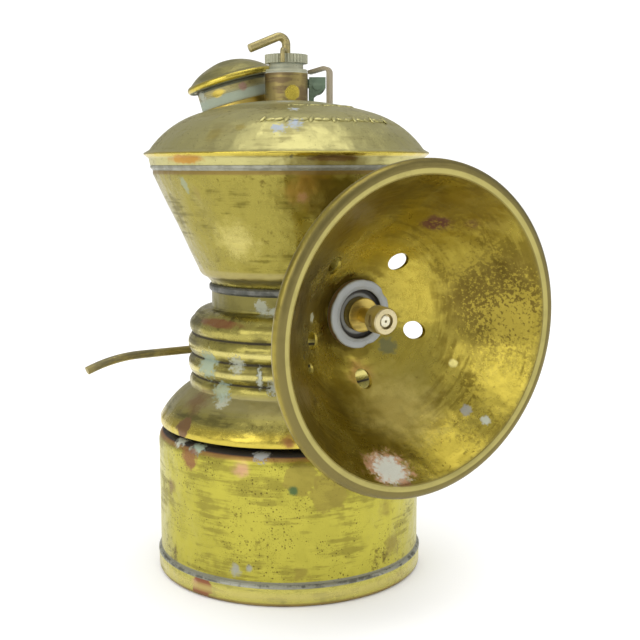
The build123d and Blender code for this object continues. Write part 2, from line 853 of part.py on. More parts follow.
pipe_front = HUB_FRONT + NUT_H + PIPE_PROUD
flange_t = pipe_front + SEAT_GAP
stem_t = flange_t + TIP_FLANGE_H
cup_t = stem_t + TIP_STEM_H
tip_front = cup_t + TIP_CUP_H


def tip_base():
    """Plug that pushes into the pipe, with a flange and the burner's stem."""
    return burner * turned(
        [
            (JET_R, flange_t - TIP_PLUG_H),
            (PIPE_BORE_R - FIT_GAP, flange_t - TIP_PLUG_H),
            (PIPE_BORE_R - FIT_GAP, flange_t),
            (TIP_FLANGE_R, flange_t),
            (TIP_FLANGE_R, stem_t - 0.15),
            (TIP_FLANGE_R - 0.15, stem_t),
            (TIP_STEM_R, stem_t),
            (TIP_STEM_R, cup_t),
            (JET_R, cup_t),
        ]
    )


def tip_cup():
    """Metal cup round the burner's jet, with two air slots in its side."""
    cup = turned(
        [
            (JET_R, cup_t),
            (TIP_CUP_R - 0.4, cup_t),
            (TIP_CUP_R, cup_t + 0.4),
            (TIP_CUP_R, tip_front - 0.2),
            (TIP_CUP_R - 0.2, tip_front),
            (TIP_MOUTH_R, tip_front),
            (TIP_MOUTH_R, tip_front - TIP_MOUTH_H),
            (CERAMIC_R, tip_front - TIP_MOUTH_H),
            (CERAMIC_R, tip_front - CERAMIC_INSET - CERAMIC_H),
            (JET_R, tip_front - CERAMIC_INSET - CERAMIC_H),
        ]
    )
    slot = Pos(0, 0, cup_t + TIP_CUP_H * 0.55) * Box(TIP_CUP_R * 2, AIR_SLOT_H, AIR_SLOT_W)
    return burner * (cup - Pos(-TIP_CUP_R * 1.75, 0, 0) * slot - Pos(TIP_CUP_R * 1.75, 0, 0) * slot)


def ceramic_tip():
    """Ceramic insert with the pinhole that the gas burns at."""
    front = tip_front - CERAMIC_INSET
    return burner * turned(
        [
            (JET_R, front - CERAMIC_H),
            (CERAMIC_R, front - CERAMIC_H),
            (CERAMIC_R, front - 0.25),
            (CERAMIC_R - 0.25, front, 0.07),
            (JET_R, front),
        ]
    )


# ---- cap brace and hook ----------------------------------------------------------------
brace_z = first_root_z + RIB_PITCH / 2
brace_y = rib_root_r + RIB_BOW + BRACE_R + FIT_GAP


def brace_wire():
    """Wire across the back that steadies the lamp on a cap, its ends bent down."""
    right = JernArc((BRACE_STRAIGHT, 0), (1, 0), BRACE_BEND_R, -BRACE_BEND)
    left = JernArc((-BRACE_STRAIGHT, 0), (-1, 0), BRACE_BEND_R, BRACE_BEND)
    middle = Line((-BRACE_STRAIGHT, 0), (BRACE_STRAIGHT, 0))
    plane = Plane((0, brace_y, brace_z), x_dir=(1, 0, 0), z_dir=(0, -1, 0))
    return wire(BRACE_R, [plane * edge for edge in (left, middle, right)])


def brace_saddle():
    """Block that the brace is soldered to the ribs with."""
    depth = brace_y + SADDLE_PROUD - THROAT_R
    block = Pos(0, THROAT_R + depth / 2, brace_z) * Box(SADDLE_W, depth, SADDLE_H)
    block = fillet(block.edges().filter_by(Axis.Y), SADDLE_H * 0.3)
    return block - collar_core() - brace_wire()


def cap_hook():
    """Flat hook behind the tank: soldered up the cone, bent over and down to a blade."""
    half_t = HOOK_T / 2
    lean = atan2(TANK_R - cone_r, CONE_H)
    low = cone_z + HOOK_LOW * cos(lean)
    start = Vector(cone_radius(low) + half_t * cos(lean), low - half_t * sin(lean))
    leg = Line(start, start + Vector(sin(lean), cos(lean)) * HOOK_LEG)
    bend = JernArc(leg @ 1, leg % 1, HOOK_BEND_R, degrees(lean) - 180)
    blade = Line(bend @ 1, (bend @ 1) + (bend % 1) * HOOK_BLADE)
    path = Wire([Plane.YZ * edge for edge in (leg, bend, blade)])
    section = Plane(path @ 0, x_dir=(1, 0, 0), z_dir=path % 0) * Rectangle(HOOK_W, HOOK_T)
    return sweep(section, path=path) - cone_core()


NODES = (
    carbide_chamber,
    chamber_bottom,
    bottom_seam,
    chamber_gasket,
    ribbed_collar,
    thread_ring,
    neck_solder,
    felt_filter,
    felt_retainer,
    retainer_ring,
    tank_cone,
    tank_floor,
    tank_seam,
    tank_dome,
    water_tube,
    valve_seat,
    valve_needle,
    valve_housing,
    stem_packing,
    packing_washer,
    packing_cap,
    water_lever,
    click_finger,
    filler_neck,
    filler_flange,
    filler_lid,
    lid_gasket,
    lid_arm,
    hinge_bracket,
    hinge_pin,
    lid_spring,
    burner_socket,
    burner_pipe,
    reflector_seat,
    reflector,
    reflector_nut,
    tip_base,
    tip_cup,
    ceramic_tip,
    brace_wire,
    brace_saddle,
    cap_hook,
)

os.makedirs("parts", exist_ok=True)
for node in NODES:
    export_step(node(), f"parts/{node.__name__}.step")
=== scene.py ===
import logging
import math
from collections.abc import Callable, Sequence
from dataclasses import dataclass
from enum import Enum
from functools import partial

import bmesh
import bpy
from mathutils import Matrix, Vector


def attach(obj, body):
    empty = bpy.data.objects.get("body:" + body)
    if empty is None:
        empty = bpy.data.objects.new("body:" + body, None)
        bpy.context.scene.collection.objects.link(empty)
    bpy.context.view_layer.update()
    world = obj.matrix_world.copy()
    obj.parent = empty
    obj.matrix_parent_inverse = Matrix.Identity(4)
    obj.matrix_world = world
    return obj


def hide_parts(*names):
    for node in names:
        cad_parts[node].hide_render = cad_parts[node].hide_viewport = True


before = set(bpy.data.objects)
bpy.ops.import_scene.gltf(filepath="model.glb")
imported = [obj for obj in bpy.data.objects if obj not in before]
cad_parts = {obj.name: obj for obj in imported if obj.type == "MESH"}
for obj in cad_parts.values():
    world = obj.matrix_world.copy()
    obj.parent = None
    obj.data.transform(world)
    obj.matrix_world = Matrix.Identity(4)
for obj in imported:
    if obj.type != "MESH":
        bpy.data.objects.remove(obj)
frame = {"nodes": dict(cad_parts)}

LOG = logging.getLogger("carbide_lamp")
MM = 0.001
WELD = MM * 0.001
BEVEL_ANGLE = math.radians(35)
SMOOTH_ANGLE = math.radians(40)
Point = tuple[float, ...]
Colour = tuple[float, float, float]


# ---- frames of the lamp's parts ---------------------------------------------------------
LID_TURN = math.radians(-30.5)
DOME_TOP = 90.1
CROWN_RADIUS = 57.0
FILLER_AT = (-9.35, 8.1)
FILLER_TILT = math.radians(15.5)
BURNER_Z = 53.36
BURNER_DROOP = math.radians(2.8)

UPRIGHT = Matrix.Identity(4)
LID_SIDE = Matrix.Rotation(LID_TURN, 4, "Z")


def crown_height(radius: float) -> float:
    """Height of the dome's crown at a radius from the lamp's axis, in millimetres."""
    return DOME_TOP - CROWN_RADIUS + math.sqrt(CROWN_RADIUS**2 - radius**2)


def filler_frame() -> Matrix:
    """Frame of the leaning filler neck, with its places in millimetres."""
    foot = Vector((*FILLER_AT, crown_height(math.hypot(*FILLER_AT))))
    return LID_SIDE @ Matrix.Translation(foot) @ Matrix.Rotation(-FILLER_TILT, 4, "Y")


def burner_frame() -> Matrix:
    """Frame of the burner: its Z runs forward along the pipe, its X to the right."""
    turn = Matrix.Rotation(math.pi / 2 + BURNER_DROOP, 4, "X")
    return Matrix.Translation((0.0, 0.0, BURNER_Z)) @ turn


FILLER = filler_frame()
BURNER = burner_frame()


def around(radius: float, azimuth: float, height: float) -> Vector:
    """Place at a radius and azimuth about an axis, in millimetres and degrees."""
    turn = math.radians(azimuth)
    return Vector((radius * math.cos(turn), radius * math.sin(turn), height))


# ---- node trees -------------------------------------------------------------------------
class Graph:
    """Adds nodes to one tree and joins them."""

    def __init__(self, tree: bpy.types.NodeTree) -> None:
        """Takes the tree to build in.

        Args:
            tree: A material's or a group's node tree.
        """
        self.tree = tree

    def add(self, kind: str, inputs: dict | None = None, **settings: object) -> bpy.types.Node:
        """Adds a node, then fills or joins its inputs.

        Args:
            kind: Blender's name for the node's type.
            inputs: Value or output socket for each input, by name or number.
            settings: Properties of the node itself.

        Returns:
            The new node.
        """
        node = self.tree.nodes.new(kind)
        for name, value in settings.items():
            setattr(node, name, value)
        for name, value in (inputs or {}).items():
            if isinstance(value, bpy.types.NodeSocket):
                self.tree.links.new(value, node.inputs[name])
            else:
                node.inputs[name].default_value = value
        return node

    def maths(self, operation: str, *values: object, clamp: bool = False) -> bpy.types.NodeSocket:
        """Result of a sum on one to three numbers or sockets."""
        inputs = dict(enumerate(values))
        return self.add("ShaderNodeMath", inputs, operation=operation, use_clamp=clamp).outputs[0]

    def blend(self, share: object, below: object, above: object) -> bpy.types.NodeSocket:
        """Colour that goes from one to another as the share rises from 0 to 1."""
        inputs = {0: share, 6: below, 7: above}
        return self.add("ShaderNodeMix", inputs, data_type="RGBA").outputs[2]

    def between(self, share: object, below: object, above: object) -> bpy.types.NodeSocket:
        """Number that goes from one to another as the share rises from 0 to 1."""
        return self.add("ShaderNodeMix", {0: share, 2: below, 3: above}).outputs[0]

    def ramp(self, value: object, low: object, high: object) -> bpy.types.NodeSocket:
        """Smooth 0 to 1 as the value goes from low to high."""
        inputs = {0: value, 1: low, 2: high}
        return self.add("ShaderNodeMapRange", inputs, interpolation_type="SMOOTHSTEP").outputs[0]

    def noise(
        self, place: object, scale: object, detail: float, rough: float = 0.55
    ) -> bpy.types.Node:
        """Noise at a place, with this many features to the millimetre."""
        inputs = {"Vector": place, "Scale": scale, "Detail": detail, "Roughness": rough}
        return self.add("ShaderNodeTexNoise", inputs)


class Kind(Enum):
    """Kinds of group socket."""

    NUMBER = "NodeSocketFloat"
    COLOUR = "NodeSocketColor"
    PLACE = "NodeSocketVector"


def make_group(
    name: str,
    inputs: dict[str, Kind],
    outputs: dict[str, Kind],
    fill: Callable[[Graph, dict], dict],
) -> bpy.types.NodeTree:
    """Builds a shared node group, or returns the one already built.

    Args:
        name: Name of the group.
        inputs: Kind of each input socket.
        outputs: Kind of each output socket.
        fill: Function that builds the inside and returns a socket for each output.

    Returns:
        The group's node tree.
    """
    if name in bpy.data.node_groups:
        return bpy.data.node_groups[name]
    tree = bpy.data.node_groups.new(name, "ShaderNodeTree")
    for label, kind in inputs.items():
        tree.interface.new_socket(label, in_out="INPUT", socket_type=kind.value)
    for label, kind in outputs.items():
        tree.interface.new_socket(label, in_out="OUTPUT", socket_type=kind.value)
    graph = Graph(tree)
    source = tree.nodes.new("NodeGroupInput").outputs
    results = fill(graph, {label: source[label] for label in inputs})
    sink = tree.nodes.new("NodeGroupOutput")
    for label, socket in results.items():
        tree.links.new(socket, sink.inputs[label])
    return tree


def tarnish_group() -> bpy.types.NodeTree:
    """Three tones of tarnish in clouds, with streaks round the piece and fine grain."""

    def fill(graph: Graph, given: dict) -> dict:
        place = given["Place"]
        clouds = graph.noise(place, given["Cloud Scale"], 5.0, 0.6).outputs[0]
        flecks = graph.noise(place, given["Fleck Scale"], 4.0, 0.7).outputs[0]
        flat = graph.add(
            "ShaderNodeVectorMath", {0: place, 1: (0.12, 0.12, 1.6)}, operation="MULTIPLY"
        )
        streaks = graph.noise(flat.outputs[0], 0.9, 4.0, 0.6).outputs[0]
        mixed = graph.maths("MULTIPLY_ADD", streaks, 0.35, graph.maths("MULTIPLY", clouds, 0.65))
        dull = graph.ramp(mixed, graph.maths("SUBTRACT", given["Cover"], 0.09), given["Cover"])
        dull = graph.maths("SUBTRACT", 1.0, dull)
        deep = graph.ramp(
            graph.maths("MULTIPLY_ADD", flecks, 0.5, graph.maths("MULTIPLY", clouds, 0.5)),
            0.56,
            0.68,
        )
        deep = graph.maths("MULTIPLY", deep, given["Deep Share"])
        tone = graph.blend(dull, given["Clean"], given["Dull"])
        tone = graph.blend(deep, tone, given["Deep"])
        return {"Colour": tone, "Mask": graph.maths("MAXIMUM", dull, deep), "Grain": flecks}

    inputs = {
        "Place": Kind.PLACE,
        "Clean": Kind.COLOUR,
        "Dull": Kind.COLOUR,
        "Deep": Kind.COLOUR,
        "Cloud Scale": Kind.NUMBER,
        "Fleck Scale": Kind.NUMBER,
        "Cover": Kind.NUMBER,
        "Deep Share": Kind.NUMBER,
    }
    return make_group(
        "Tarnish", inputs, {"Colour": Kind.COLOUR, "Mask": Kind.NUMBER, "Grain": Kind.NUMBER}, fill
    )


def speck_group() -> bpy.types.NodeTree:
    """Small ragged spots scattered over the surface."""

    def fill(graph: Graph, given: dict) -> dict:
        place = given["Place"]
        shake = graph.noise(place, 2.4, 3.0).outputs["Color"]
        bent = graph.add(
            "ShaderNodeMix", {0: 0.35, 4: place, 5: shake}, data_type="VECTOR"
        ).outputs[1]
        moved = graph.add("ShaderNodeVectorMath", {0: place, 1: bent}, operation="ADD").outputs[0]
        cells = graph.add("ShaderNodeTexVoronoi", {"Vector": moved, "Scale": given["Scale"]})
        patchy = graph.noise(place, 0.16, 3.0).outputs[0]
        size = graph.maths("MULTIPLY", given["Size"], graph.ramp(patchy, 0.3, 0.62))
        mask = graph.ramp(cells.outputs["Distance"], size, graph.maths("MULTIPLY", size, 0.45))
        return {"Mask": mask}

    inputs = {"Place": Kind.PLACE, "Scale": Kind.NUMBER, "Size": Kind.NUMBER}
    return make_group("Specks", inputs, {"Mask": Kind.NUMBER}, fill)


def scratch_group() -> bpy.types.NodeTree:
    """Fine scratches in two directions, and a soft unevenness of drawn sheet."""

    def fill(graph: Graph, given: dict) -> dict:
        lines = []
        for index, angle in enumerate((0.5, 1.9)):
            turned = graph.add(
                "ShaderNodeMapping",
                {
                    "Vector": given["Place"],
                    "Rotation": (angle, angle * 0.6, angle * 1.7),
                    "Scale": (6.0, 0.18, 6.0),
                },
            )
            value = graph.noise(turned.outputs[0], 0.8 + index * 0.3, 2.0).outputs[0]
            near = graph.maths("ABSOLUTE", graph.maths("SUBTRACT", value, 0.5))
            lines.append(graph.ramp(near, 0.012, 0.0))
        fine = graph.maths("MAXIMUM", *lines)
        patchy = graph.ramp(graph.noise(given["Place"], 0.2, 2.0).outputs[0], 0.45, 0.6)
        soft = graph.noise(given["Place"], 0.22, 2.0, 0.4).outputs[0]
        return {"Lines": graph.maths("MULTIPLY", fine, patchy), "Unevenness": soft}

    outputs = {"Lines": Kind.NUMBER, "Unevenness": Kind.NUMBER}
    return make_group("Scratches", {"Place": Kind.PLACE}, outputs, fill)


def stain_or_light_group() -> bpy.types.NodeTree:
    """One mark, of corrosion, dirt, painted shade or a painted highlight: an ellipsoid with ragged
    edges, solid or broken inside.
    """

    def fill(graph: Graph, given: dict) -> dict:
        place = given["Place"]
        away = graph.add(
            "ShaderNodeVectorMath", {0: place, 1: given["Centre"]}, operation="SUBTRACT"
        )
        share = graph.add(
            "ShaderNodeVectorMath", {0: away.outputs[0], 1: given["Reach"]}, operation="DIVIDE"
        )
        length = graph.add(
            "ShaderNodeVectorMath", {0: share.outputs[0]}, operation="LENGTH"
        ).outputs["Value"]
        rough = graph.noise(place, given["Grain"], 6.0, 0.65).outputs[0]
        shift = graph.maths("MULTIPLY", graph.maths("SUBTRACT", rough, 0.5), given["Ragged"])
        edge = graph.maths("ADD", length, shift)
        mask = graph.ramp(edge, 1.0, given["Core"])
        return {"Mask": graph.maths("MULTIPLY", mask, given["Strength"])}

    inputs = {
        "Place": Kind.PLACE,
        "Centre": Kind.PLACE,
        "Reach": Kind.PLACE,
        "Grain": Kind.NUMBER,
        "Ragged": Kind.NUMBER,
        "Core": Kind.NUMBER,
        "Strength": Kind.NUMBER,
    }
    return make_group("StainOrPaintedLight", inputs, {"Mask": Kind.NUMBER}, fill)


def edge_group() -> bpy.types.NodeTree:
    """Worn edges, and hollows with dirt and painted shade, from how sharply the surface turns."""

    def fill(graph: Graph, given: dict) -> dict:
        turn = graph.add("ShaderNodeNewGeometry").outputs["Pointiness"]
        rough = graph.noise(given["Place"], 1.1, 4.0).outputs[0]
        shift = graph.maths("MULTIPLY_ADD", rough, 0.02, -0.01)
        turn = graph.maths("ADD", turn, shift)
        return {"Worn": graph.ramp(turn, 0.515, 0.56), "Dirt And Shade": graph.ramp(turn, 0.487, 0.45)}

    return make_group(
        "Edges", {"Place": Kind.PLACE}, {"Worn": Kind.NUMBER, "Dirt And Shade": Kind.NUMBER}, fill
    )


# ---- finishes ---------------------------------------------------------------------------
def new_material(name: str) -> tuple[bpy.types.Material, Graph, bpy.types.Node]:
    """Starts a material.

    Args:
        name: Name of the material.

    Returns:
        The material, its graph and its Principled shader.
    """
    material = bpy.data.materials.new(name)
    material.use_nodes = True
    return material, Graph(material.node_tree), material.node_tree.nodes["Principled BSDF"]


def join_skin(
    graph: Graph, shader: bpy.types.Node, colour: object, rough: object, height: object
) -> None:
    """Joins colour, roughness and relief in millimetres to a shader."""
    bump = graph.add("ShaderNodeBump", {"Strength": 1.0, "Distance": MM, "Height": height})
    graph.tree.links.new(colour, shader.inputs["Base Color"])
    graph.tree.links.new(rough, shader.inputs["Roughness"])
    graph.tree.links.new(bump.outputs[0], shader.inputs["Normal"])


class View(Enum):
    """How a stain's place is measured."""

    PLACE = "x, y and z in the piece's own frame"
    TURNED = "distance from the piece's axis, then height"


@dataclass(frozen=True)
class StainOrPaintedLight:
    """A mark at one place: verdigris, copper blush, dirt, a rub, a bright patch, painted shade or a
    painted highlight.
    """

    colour: Colour
    centre: Point
    reach: Point
    metal: float = 0.7
    rough: float = 0.45
    grain: float = 0.6
    ragged: float = 1.2
    core: float = 0.5
    strength: float = 1.0
    raised: float = 0.0
    view: View = View.PLACE


@dataclass(frozen=True)
class AgedMetal:
    """Old metal: three tones of tarnish, specks, scratches, worn edges, dirt and painted shade in
    hollows, and marks of corrosion and dirt, painted shade and painted highlights.
    """

    name: str
    clean: Colour
    dull: Colour
    deep: Colour
    speck: Colour = (0.10, 0.07, 0.02)
    frame: Matrix = UPRIGHT
    cover: float = 0.47
    deep_share: float = 0.7
    cloud_scale: float = 0.11
    fleck_scale: float = 0.9
    speck_size: float = 0.16
    smooth: float = 0.22
    rough: float = 0.42
    metal: float = 1.0
    uneven: float = 0.05
    stains_and_painted_light: tuple[StainOrPaintedLight, ...] = ()

    def material(self) -> bpy.types.Material:
        """Builds the material.

        Returns:
            The material, with one Principled shader fed by the shared groups.
        """
        material, graph, shader = new_material(self.name)
        place = self._place(graph)
        colour, rough, metal, height = self._skin(graph, place)
        turned = self._turned(graph, place)
        for stain_or_light in self.stains_and_painted_light:
            source = turned if stain_or_light.view is View.TURNED else place
            mask = self._stain_or_light_mask(graph, source, stain_or_light)
            colour = graph.blend(mask, colour, (*stain_or_light.colour, 1.0))
            rough = graph.between(mask, rough, stain_or_light.rough)
            metal = graph.between(mask, metal, stain_or_light.metal)
            if stain_or_light.raised:
                height = graph.maths("MULTIPLY_ADD", mask, stain_or_light.raised, height)
        join_skin(graph, shader, colour, rough, height)
        graph.tree.links.new(metal, shader.inputs["Metallic"])
        return material

    def _place(self, graph: Graph) -> bpy.types.NodeSocket:
        """Place on the piece in millimetres, in the piece's own frame."""
        coordinates = graph.add("ShaderNodeTexCoord").outputs["Object"]
        back = self.frame.inverted()
        mapping = graph.add(
            "ShaderNodeMapping",
            {
                "Vector": coordinates,
                "Location": back.to_translation(),
                "Rotation": back.to_euler(),
                "Scale": (1 / MM, 1 / MM, 1 / MM),
            },
        )
        return mapping.outputs[0]

    def _turned(self, graph: Graph, place: bpy.types.NodeSocket) -> bpy.types.NodeSocket:
        """Distance from the piece's axis as X, nothing as Y and height as Z."""
        parts = graph.add("ShaderNodeSeparateXYZ", {0: place}).outputs
        square = graph.maths("MULTIPLY", parts[0], parts[0])
        radius = graph.maths("SQRT", graph.maths("MULTIPLY_ADD", parts[1], parts[1], square))
        return graph.add("ShaderNodeCombineXYZ", {0: radius, 2: parts[2]}).outputs[0]

    def _skin(self, graph: Graph, place: bpy.types.NodeSocket) -> tuple:
        """Colour, roughness, metal and height, with dirt and painted shade in hollows, before any
        marks.
        """
        tones = {
            "Clean": (*self.clean, 1.0),
            "Dull": (*self.dull, 1.0),
            "Deep": (*self.deep, 1.0),
            "Cloud Scale": self.cloud_scale,
            "Fleck Scale": self.fleck_scale,
            "Cover": self.cover,
            "Deep Share": self.deep_share,
        }
        tarnish = self._group(graph, tarnish_group(), place, tones)
        specks = self._group(graph, speck_group(), place, {"Scale": 0.8, "Size": self.speck_size})
        dots = self._group(graph, speck_group(), place, {"Scale": 2.1, "Size": self.speck_size})
        marks = self._group(graph, scratch_group(), place, {})
        edges = self._group(graph, edge_group(), place, {})
        spots = graph.maths(
            "MULTIPLY", graph.maths("MAXIMUM", specks.outputs[0], dots.outputs[0]), 0.75
        )
        colour = graph.blend(spots, tarnish.outputs["Colour"], (*self.speck, 1.0))
        colour = graph.blend(
            graph.maths("MULTIPLY", marks.outputs["Lines"], 0.35), colour, (*self.clean, 1.0)
        )
        colour = graph.blend(
            graph.maths("MULTIPLY", edges.outputs["Worn"], 0.75), colour, (*self.clean, 1.0)
        )
        # Hollows darken towards a deep brown: dirt, and painted shade where the surface turns
        # inwards.
        dark = tuple(value * 0.3 for value in self.deep)
        colour = graph.blend(
            graph.maths("MULTIPLY", edges.outputs["Dirt And Shade"], 0.8), colour, (*dark, 1.0)
        )
        rough = graph.between(tarnish.outputs["Mask"], self.smooth, self.rough)
        rough = graph.maths("MULTIPLY_ADD", tarnish.outputs["Grain"], 0.12, rough)
        rough = graph.maths("MULTIPLY_ADD", spots, 0.15, rough)
        rough = graph.maths("MULTIPLY_ADD", edges.outputs["Dirt And Shade"], 0.3, rough, clamp=True)
        metal = graph.between(edges.outputs["Dirt And Shade"], self.metal, self.metal * 0.6)
        height = graph.maths("MULTIPLY", marks.outputs["Unevenness"], self.uneven * 10)
        height = graph.maths("MULTIPLY_ADD", tarnish.outputs["Grain"], self.uneven, height)
        height = graph.maths("MULTIPLY_ADD", marks.outputs["Lines"], -0.01, height)
        height = graph.maths("MULTIPLY_ADD", spots, -0.02, height)
        return colour, rough, metal, height

    def _group(
        self, graph: Graph, tree: bpy.types.NodeTree, place: object, values: dict
    ) -> bpy.types.Node:
        """Places a shared group with this finish's values."""
        node = graph.add("ShaderNodeGroup", node_tree=tree)
        graph.tree.links.new(place, node.inputs["Place"])
        for label, value in values.items():
            node.inputs[label].default_value = value
        return node

    def _stain_or_light_mask(self, graph: Graph, place: object, stain_or_light: StainOrPaintedLight) -> bpy.types.NodeSocket:
        """Mask of one mark."""
        values = {
            "Centre": stain_or_light.centre,
            "Reach": stain_or_light.reach,
            "Grain": stain_or_light.grain,
            "Ragged": stain_or_light.ragged,
            "Core": stain_or_light.core,
            "Strength": stain_or_light.strength,
        }
        return self._group(graph, stain_or_light_group(), place, values).outputs[0]


FAR = 1000.0  # reach of a stain along a direction that doesn't limit it


def belt(colour: Colour, height: float, half: float, **rest: object) -> StainOrPaintedLight:
    """Mark all the way round at a height."""
    return StainOrPaintedLight(colour, (0.0, 0.0, height), (FAR, FAR, half), view=View.TURNED, **rest)


def ring_mark(
    colour: Colour, radius: float, half: float, height: float, tall: float, **rest: object
) -> StainOrPaintedLight:
    """Mark all the way round at a radius and height."""
    return StainOrPaintedLight(colour, (radius, 0.0, height), (half, FAR, tall), view=View.TURNED, **rest)


def patch(
    colour: Colour, radius: float, azimuth: float, height: float, reach: Point, **rest: object
) -> StainOrPaintedLight:
    """Mark with its own reach along each direction, at a radius, azimuth and height."""
    return StainOrPaintedLight(colour, tuple(around(radius, azimuth, height)), reach, **rest)


def spot(
    colour: Colour, radius: float, azimuth: float, height: float, reach: float, **rest: object
) -> StainOrPaintedLight:
    """Round mark at a radius, azimuth and height."""
    return patch(colour, radius, azimuth, height, (reach, reach, reach), **rest)


# Colours of the marks that old brass gathers, also used for painted shade and highlights.
GOLD = (0.58, 0.46, 0.07)
PALE_GOLD = (0.66, 0.58, 0.20)
ETCHED = (0.50, 0.40, 0.06)
OLIVE = (0.30, 0.24, 0.05)
BROWN = (0.20, 0.11, 0.04)
RED_BROWN = (0.26, 0.09, 0.04)
COPPER = (0.62, 0.34, 0.22)
BLACK = (0.03, 0.025, 0.02)
VERDIGRIS = (0.30, 0.37, 0.28)
PALE_CRUST = (0.42, 0.44, 0.35)
GREY = (0.33, 0.34, 0.33)
BLUE_GREY = (0.34, 0.38, 0.42)
DARK_GREEN = (0.05, 0.12, 0.03)

# Kinds of spot: rough crust, thin grey bloom, etched flecks, painted shade in the dish and a soft
# wash.
crust = partial(spot, metal=0.1, rough=0.8, grain=1.6, ragged=2.8, strength=0.8, raised=0.06)
bloom = partial(spot, BLUE_GREY, metal=0.3, rough=0.6, grain=1.4, ragged=2.6, core=0.3)
etch = partial(spot, ETCHED, metal=1.0, rough=0.3, grain=1.6, ragged=5.5)
shade = partial(spot, metal=0.95, rough=0.3, ragged=0.5, core=0.3)
wash = partial(spot, metal=0.9, core=0.2, strength=0.7)

CHAMBER_STAINS_AND_SHADOW = (
    belt(RED_BROWN, 27.8, 1.7, metal=0.5, rough=0.5, grain=0.4, ragged=2.4, strength=0.9),
    # Painted shadow: a black band round the shoulder, under the collar's bell.
    belt(BLACK, 28.2, 1.3, metal=0.2, rough=0.6, grain=0.5, ragged=1.3, core=0.6),
    spot(VERDIGRIS, 24.6, -163, 28.0, 2.4, metal=0.0, rough=0.9, grain=1.3, ragged=2.2,
         raised=0.12),
    spot(PALE_CRUST, 24.3, -176, 28.0, 2.0, metal=0.0, rough=0.9, grain=1.3, ragged=2.2,
         raised=0.1),
    spot(GREY, 24.3, -132, 27.7, 1.8, metal=0.1, rough=0.8, grain=1.5, ragged=2.4),
    wash(COPPER, 25.4, -140, 25.1, 2.1, metal=1.0, rough=0.3, strength=0.75),
    spot(RED_BROWN, 25.4, -166, 25.6, 2.6, metal=0.6, ragged=1.8, strength=0.8),
    wash(OLIVE, 25.4, -116, 23.6, 3.2, rough=0.4, core=0.85, strength=0.75),
    wash(OLIVE, 25.4, -104, 21.0, 3.9, rough=0.4, core=0.85),
    spot(DARK_GREEN, 25.4, -119, 21.4, 1.1, metal=0.1, rough=0.6, core=0.4, strength=0.9),
    wash(BROWN, 25.4, -180, 18.6, 2.0, metal=0.8),
    wash(OLIVE, 25.4, -71, 8.4, 3.0, ragged=1.8, strength=0.8),
    wash(OLIVE, 25.4, -76, 16.0, 2.6, ragged=2.0, strength=0.6),
    wash(GREY, 25.4, -143, 6.3, 1.5, metal=0.6, ragged=2.2, strength=0.8),
    wash(GREY, 25.4, -137, 6.9, 0.9, metal=0.6, ragged=1.5, strength=0.8),
    wash(OLIVE, 25.4, -116, 6.0, 2.2, ragged=2.2),
    wash(RED_BROWN, 25.4, 60, 19.0, 3.0, metal=0.8, ragged=2.0),
    belt((0.20, 0.20, 0.17), 4.1, 0.5, metal=0.4, rough=0.55, grain=0.9, core=0.7, strength=0.85),
)
FOOT_STAINS = (
    spot(RED_BROWN, 25.8, -159, 1.9, 2.5, metal=0.5, ragged=1.3, core=0.8),
    spot(COPPER, 25.8, -163, 2.3, 1.2, metal=0.8, rough=0.4, core=0.3, strength=0.6),
    belt(BROWN, 0.2, 0.7, metal=0.6, rough=0.5, ragged=1.6, strength=0.7),
    belt(PALE_GOLD, 1.9, 1.0, metal=1.0, rough=0.2, ragged=2.0, core=0.1, strength=0.6),
)
COLLAR_STAINS_SHADE_AND_HIGHLIGHTS = (
    belt((0.34, 0.30, 0.13), 35.3, 2.4, metal=0.75, rough=0.42, ragged=1.4, core=0.2,
         strength=0.85),
    belt(GOLD, 30.0, 2.2, metal=1.0, rough=0.24, grain=0.5, ragged=1.0, core=0.3, strength=0.9),
    spot(BROWN, 24.6, -172, 30.6, 2.3, core=0.7),
    spot(BROWN, 20.9, -174, 34.4, 4.2, ragged=1.4, core=0.1, strength=0.8),
    spot(RED_BROWN, 25.0, -121, 30.0, 1.7, ragged=1.6, core=0.2, strength=0.8),
    crust(PALE_CRUST, 19.9, -157, 35.5, 1.9, grain=1.4, ragged=2.6),
    # Painted shade: dark rings in the roots of the ribs and at their ends.
    *(
        ring_mark((0.05, 0.04, 0.015), 18.3, 0.55, height, 0.75, metal=0.3, rough=0.6, ragged=0.5,
                  core=0.4)
        for height in (36.1, 38.4, 42.35, 46.3, 50.9)
    ),
    # Painted highlights: pale gold rings along the ribs' crests.
    *(
        ring_mark(PALE_GOLD, 19.5, 0.35, height, 0.9, metal=1.0, rough=0.2, grain=0.5, ragged=1.4,
                  strength=0.7)
        for height in (40.0, 44.0, 48.3)
    ),
    patch(PALE_CRUST, 19.0, -136, 40.2, (0.75, 0.75, 2.6), metal=0.0, rough=0.9, grain=1.6,
          ragged=2.2, raised=0.12),
    crust(VERDIGRIS, 19.0, -172, 41.6, 3.2, grain=1.2, ragged=2.6, strength=0.85, raised=0.08),
    crust(PALE_CRUST, 19.2, -150, 42.4, 2.0),
    crust(PALE_CRUST, 19.2, -128, 38.6, 1.7),
    crust(VERDIGRIS, 19.0, -160, 37.0, 2.4, grain=1.4, ragged=2.9, strength=0.7),
    patch(RED_BROWN, 18.6, -166, 49.4, (7.0, 7.0, 1.0), metal=0.8, rough=0.35, strength=0.8),
    belt((0.16, 0.14, 0.04), 53.4, 2.6, metal=0.85, rough=0.35, ragged=0.8, core=0.6,
         strength=0.85),
    patch(PALE_CRUST, 15.5, -126, 51.6, (5.0, 5.0, 0.9), metal=0.1, rough=0.8, grain=1.2,
          ragged=2.4, strength=0.85, raised=0.08),
    crust(PALE_CRUST, 14.8, -140, 52.6, 1.4, grain=1.8, ragged=1.8, core=0.7, strength=0.7,
          raised=0.0),
)
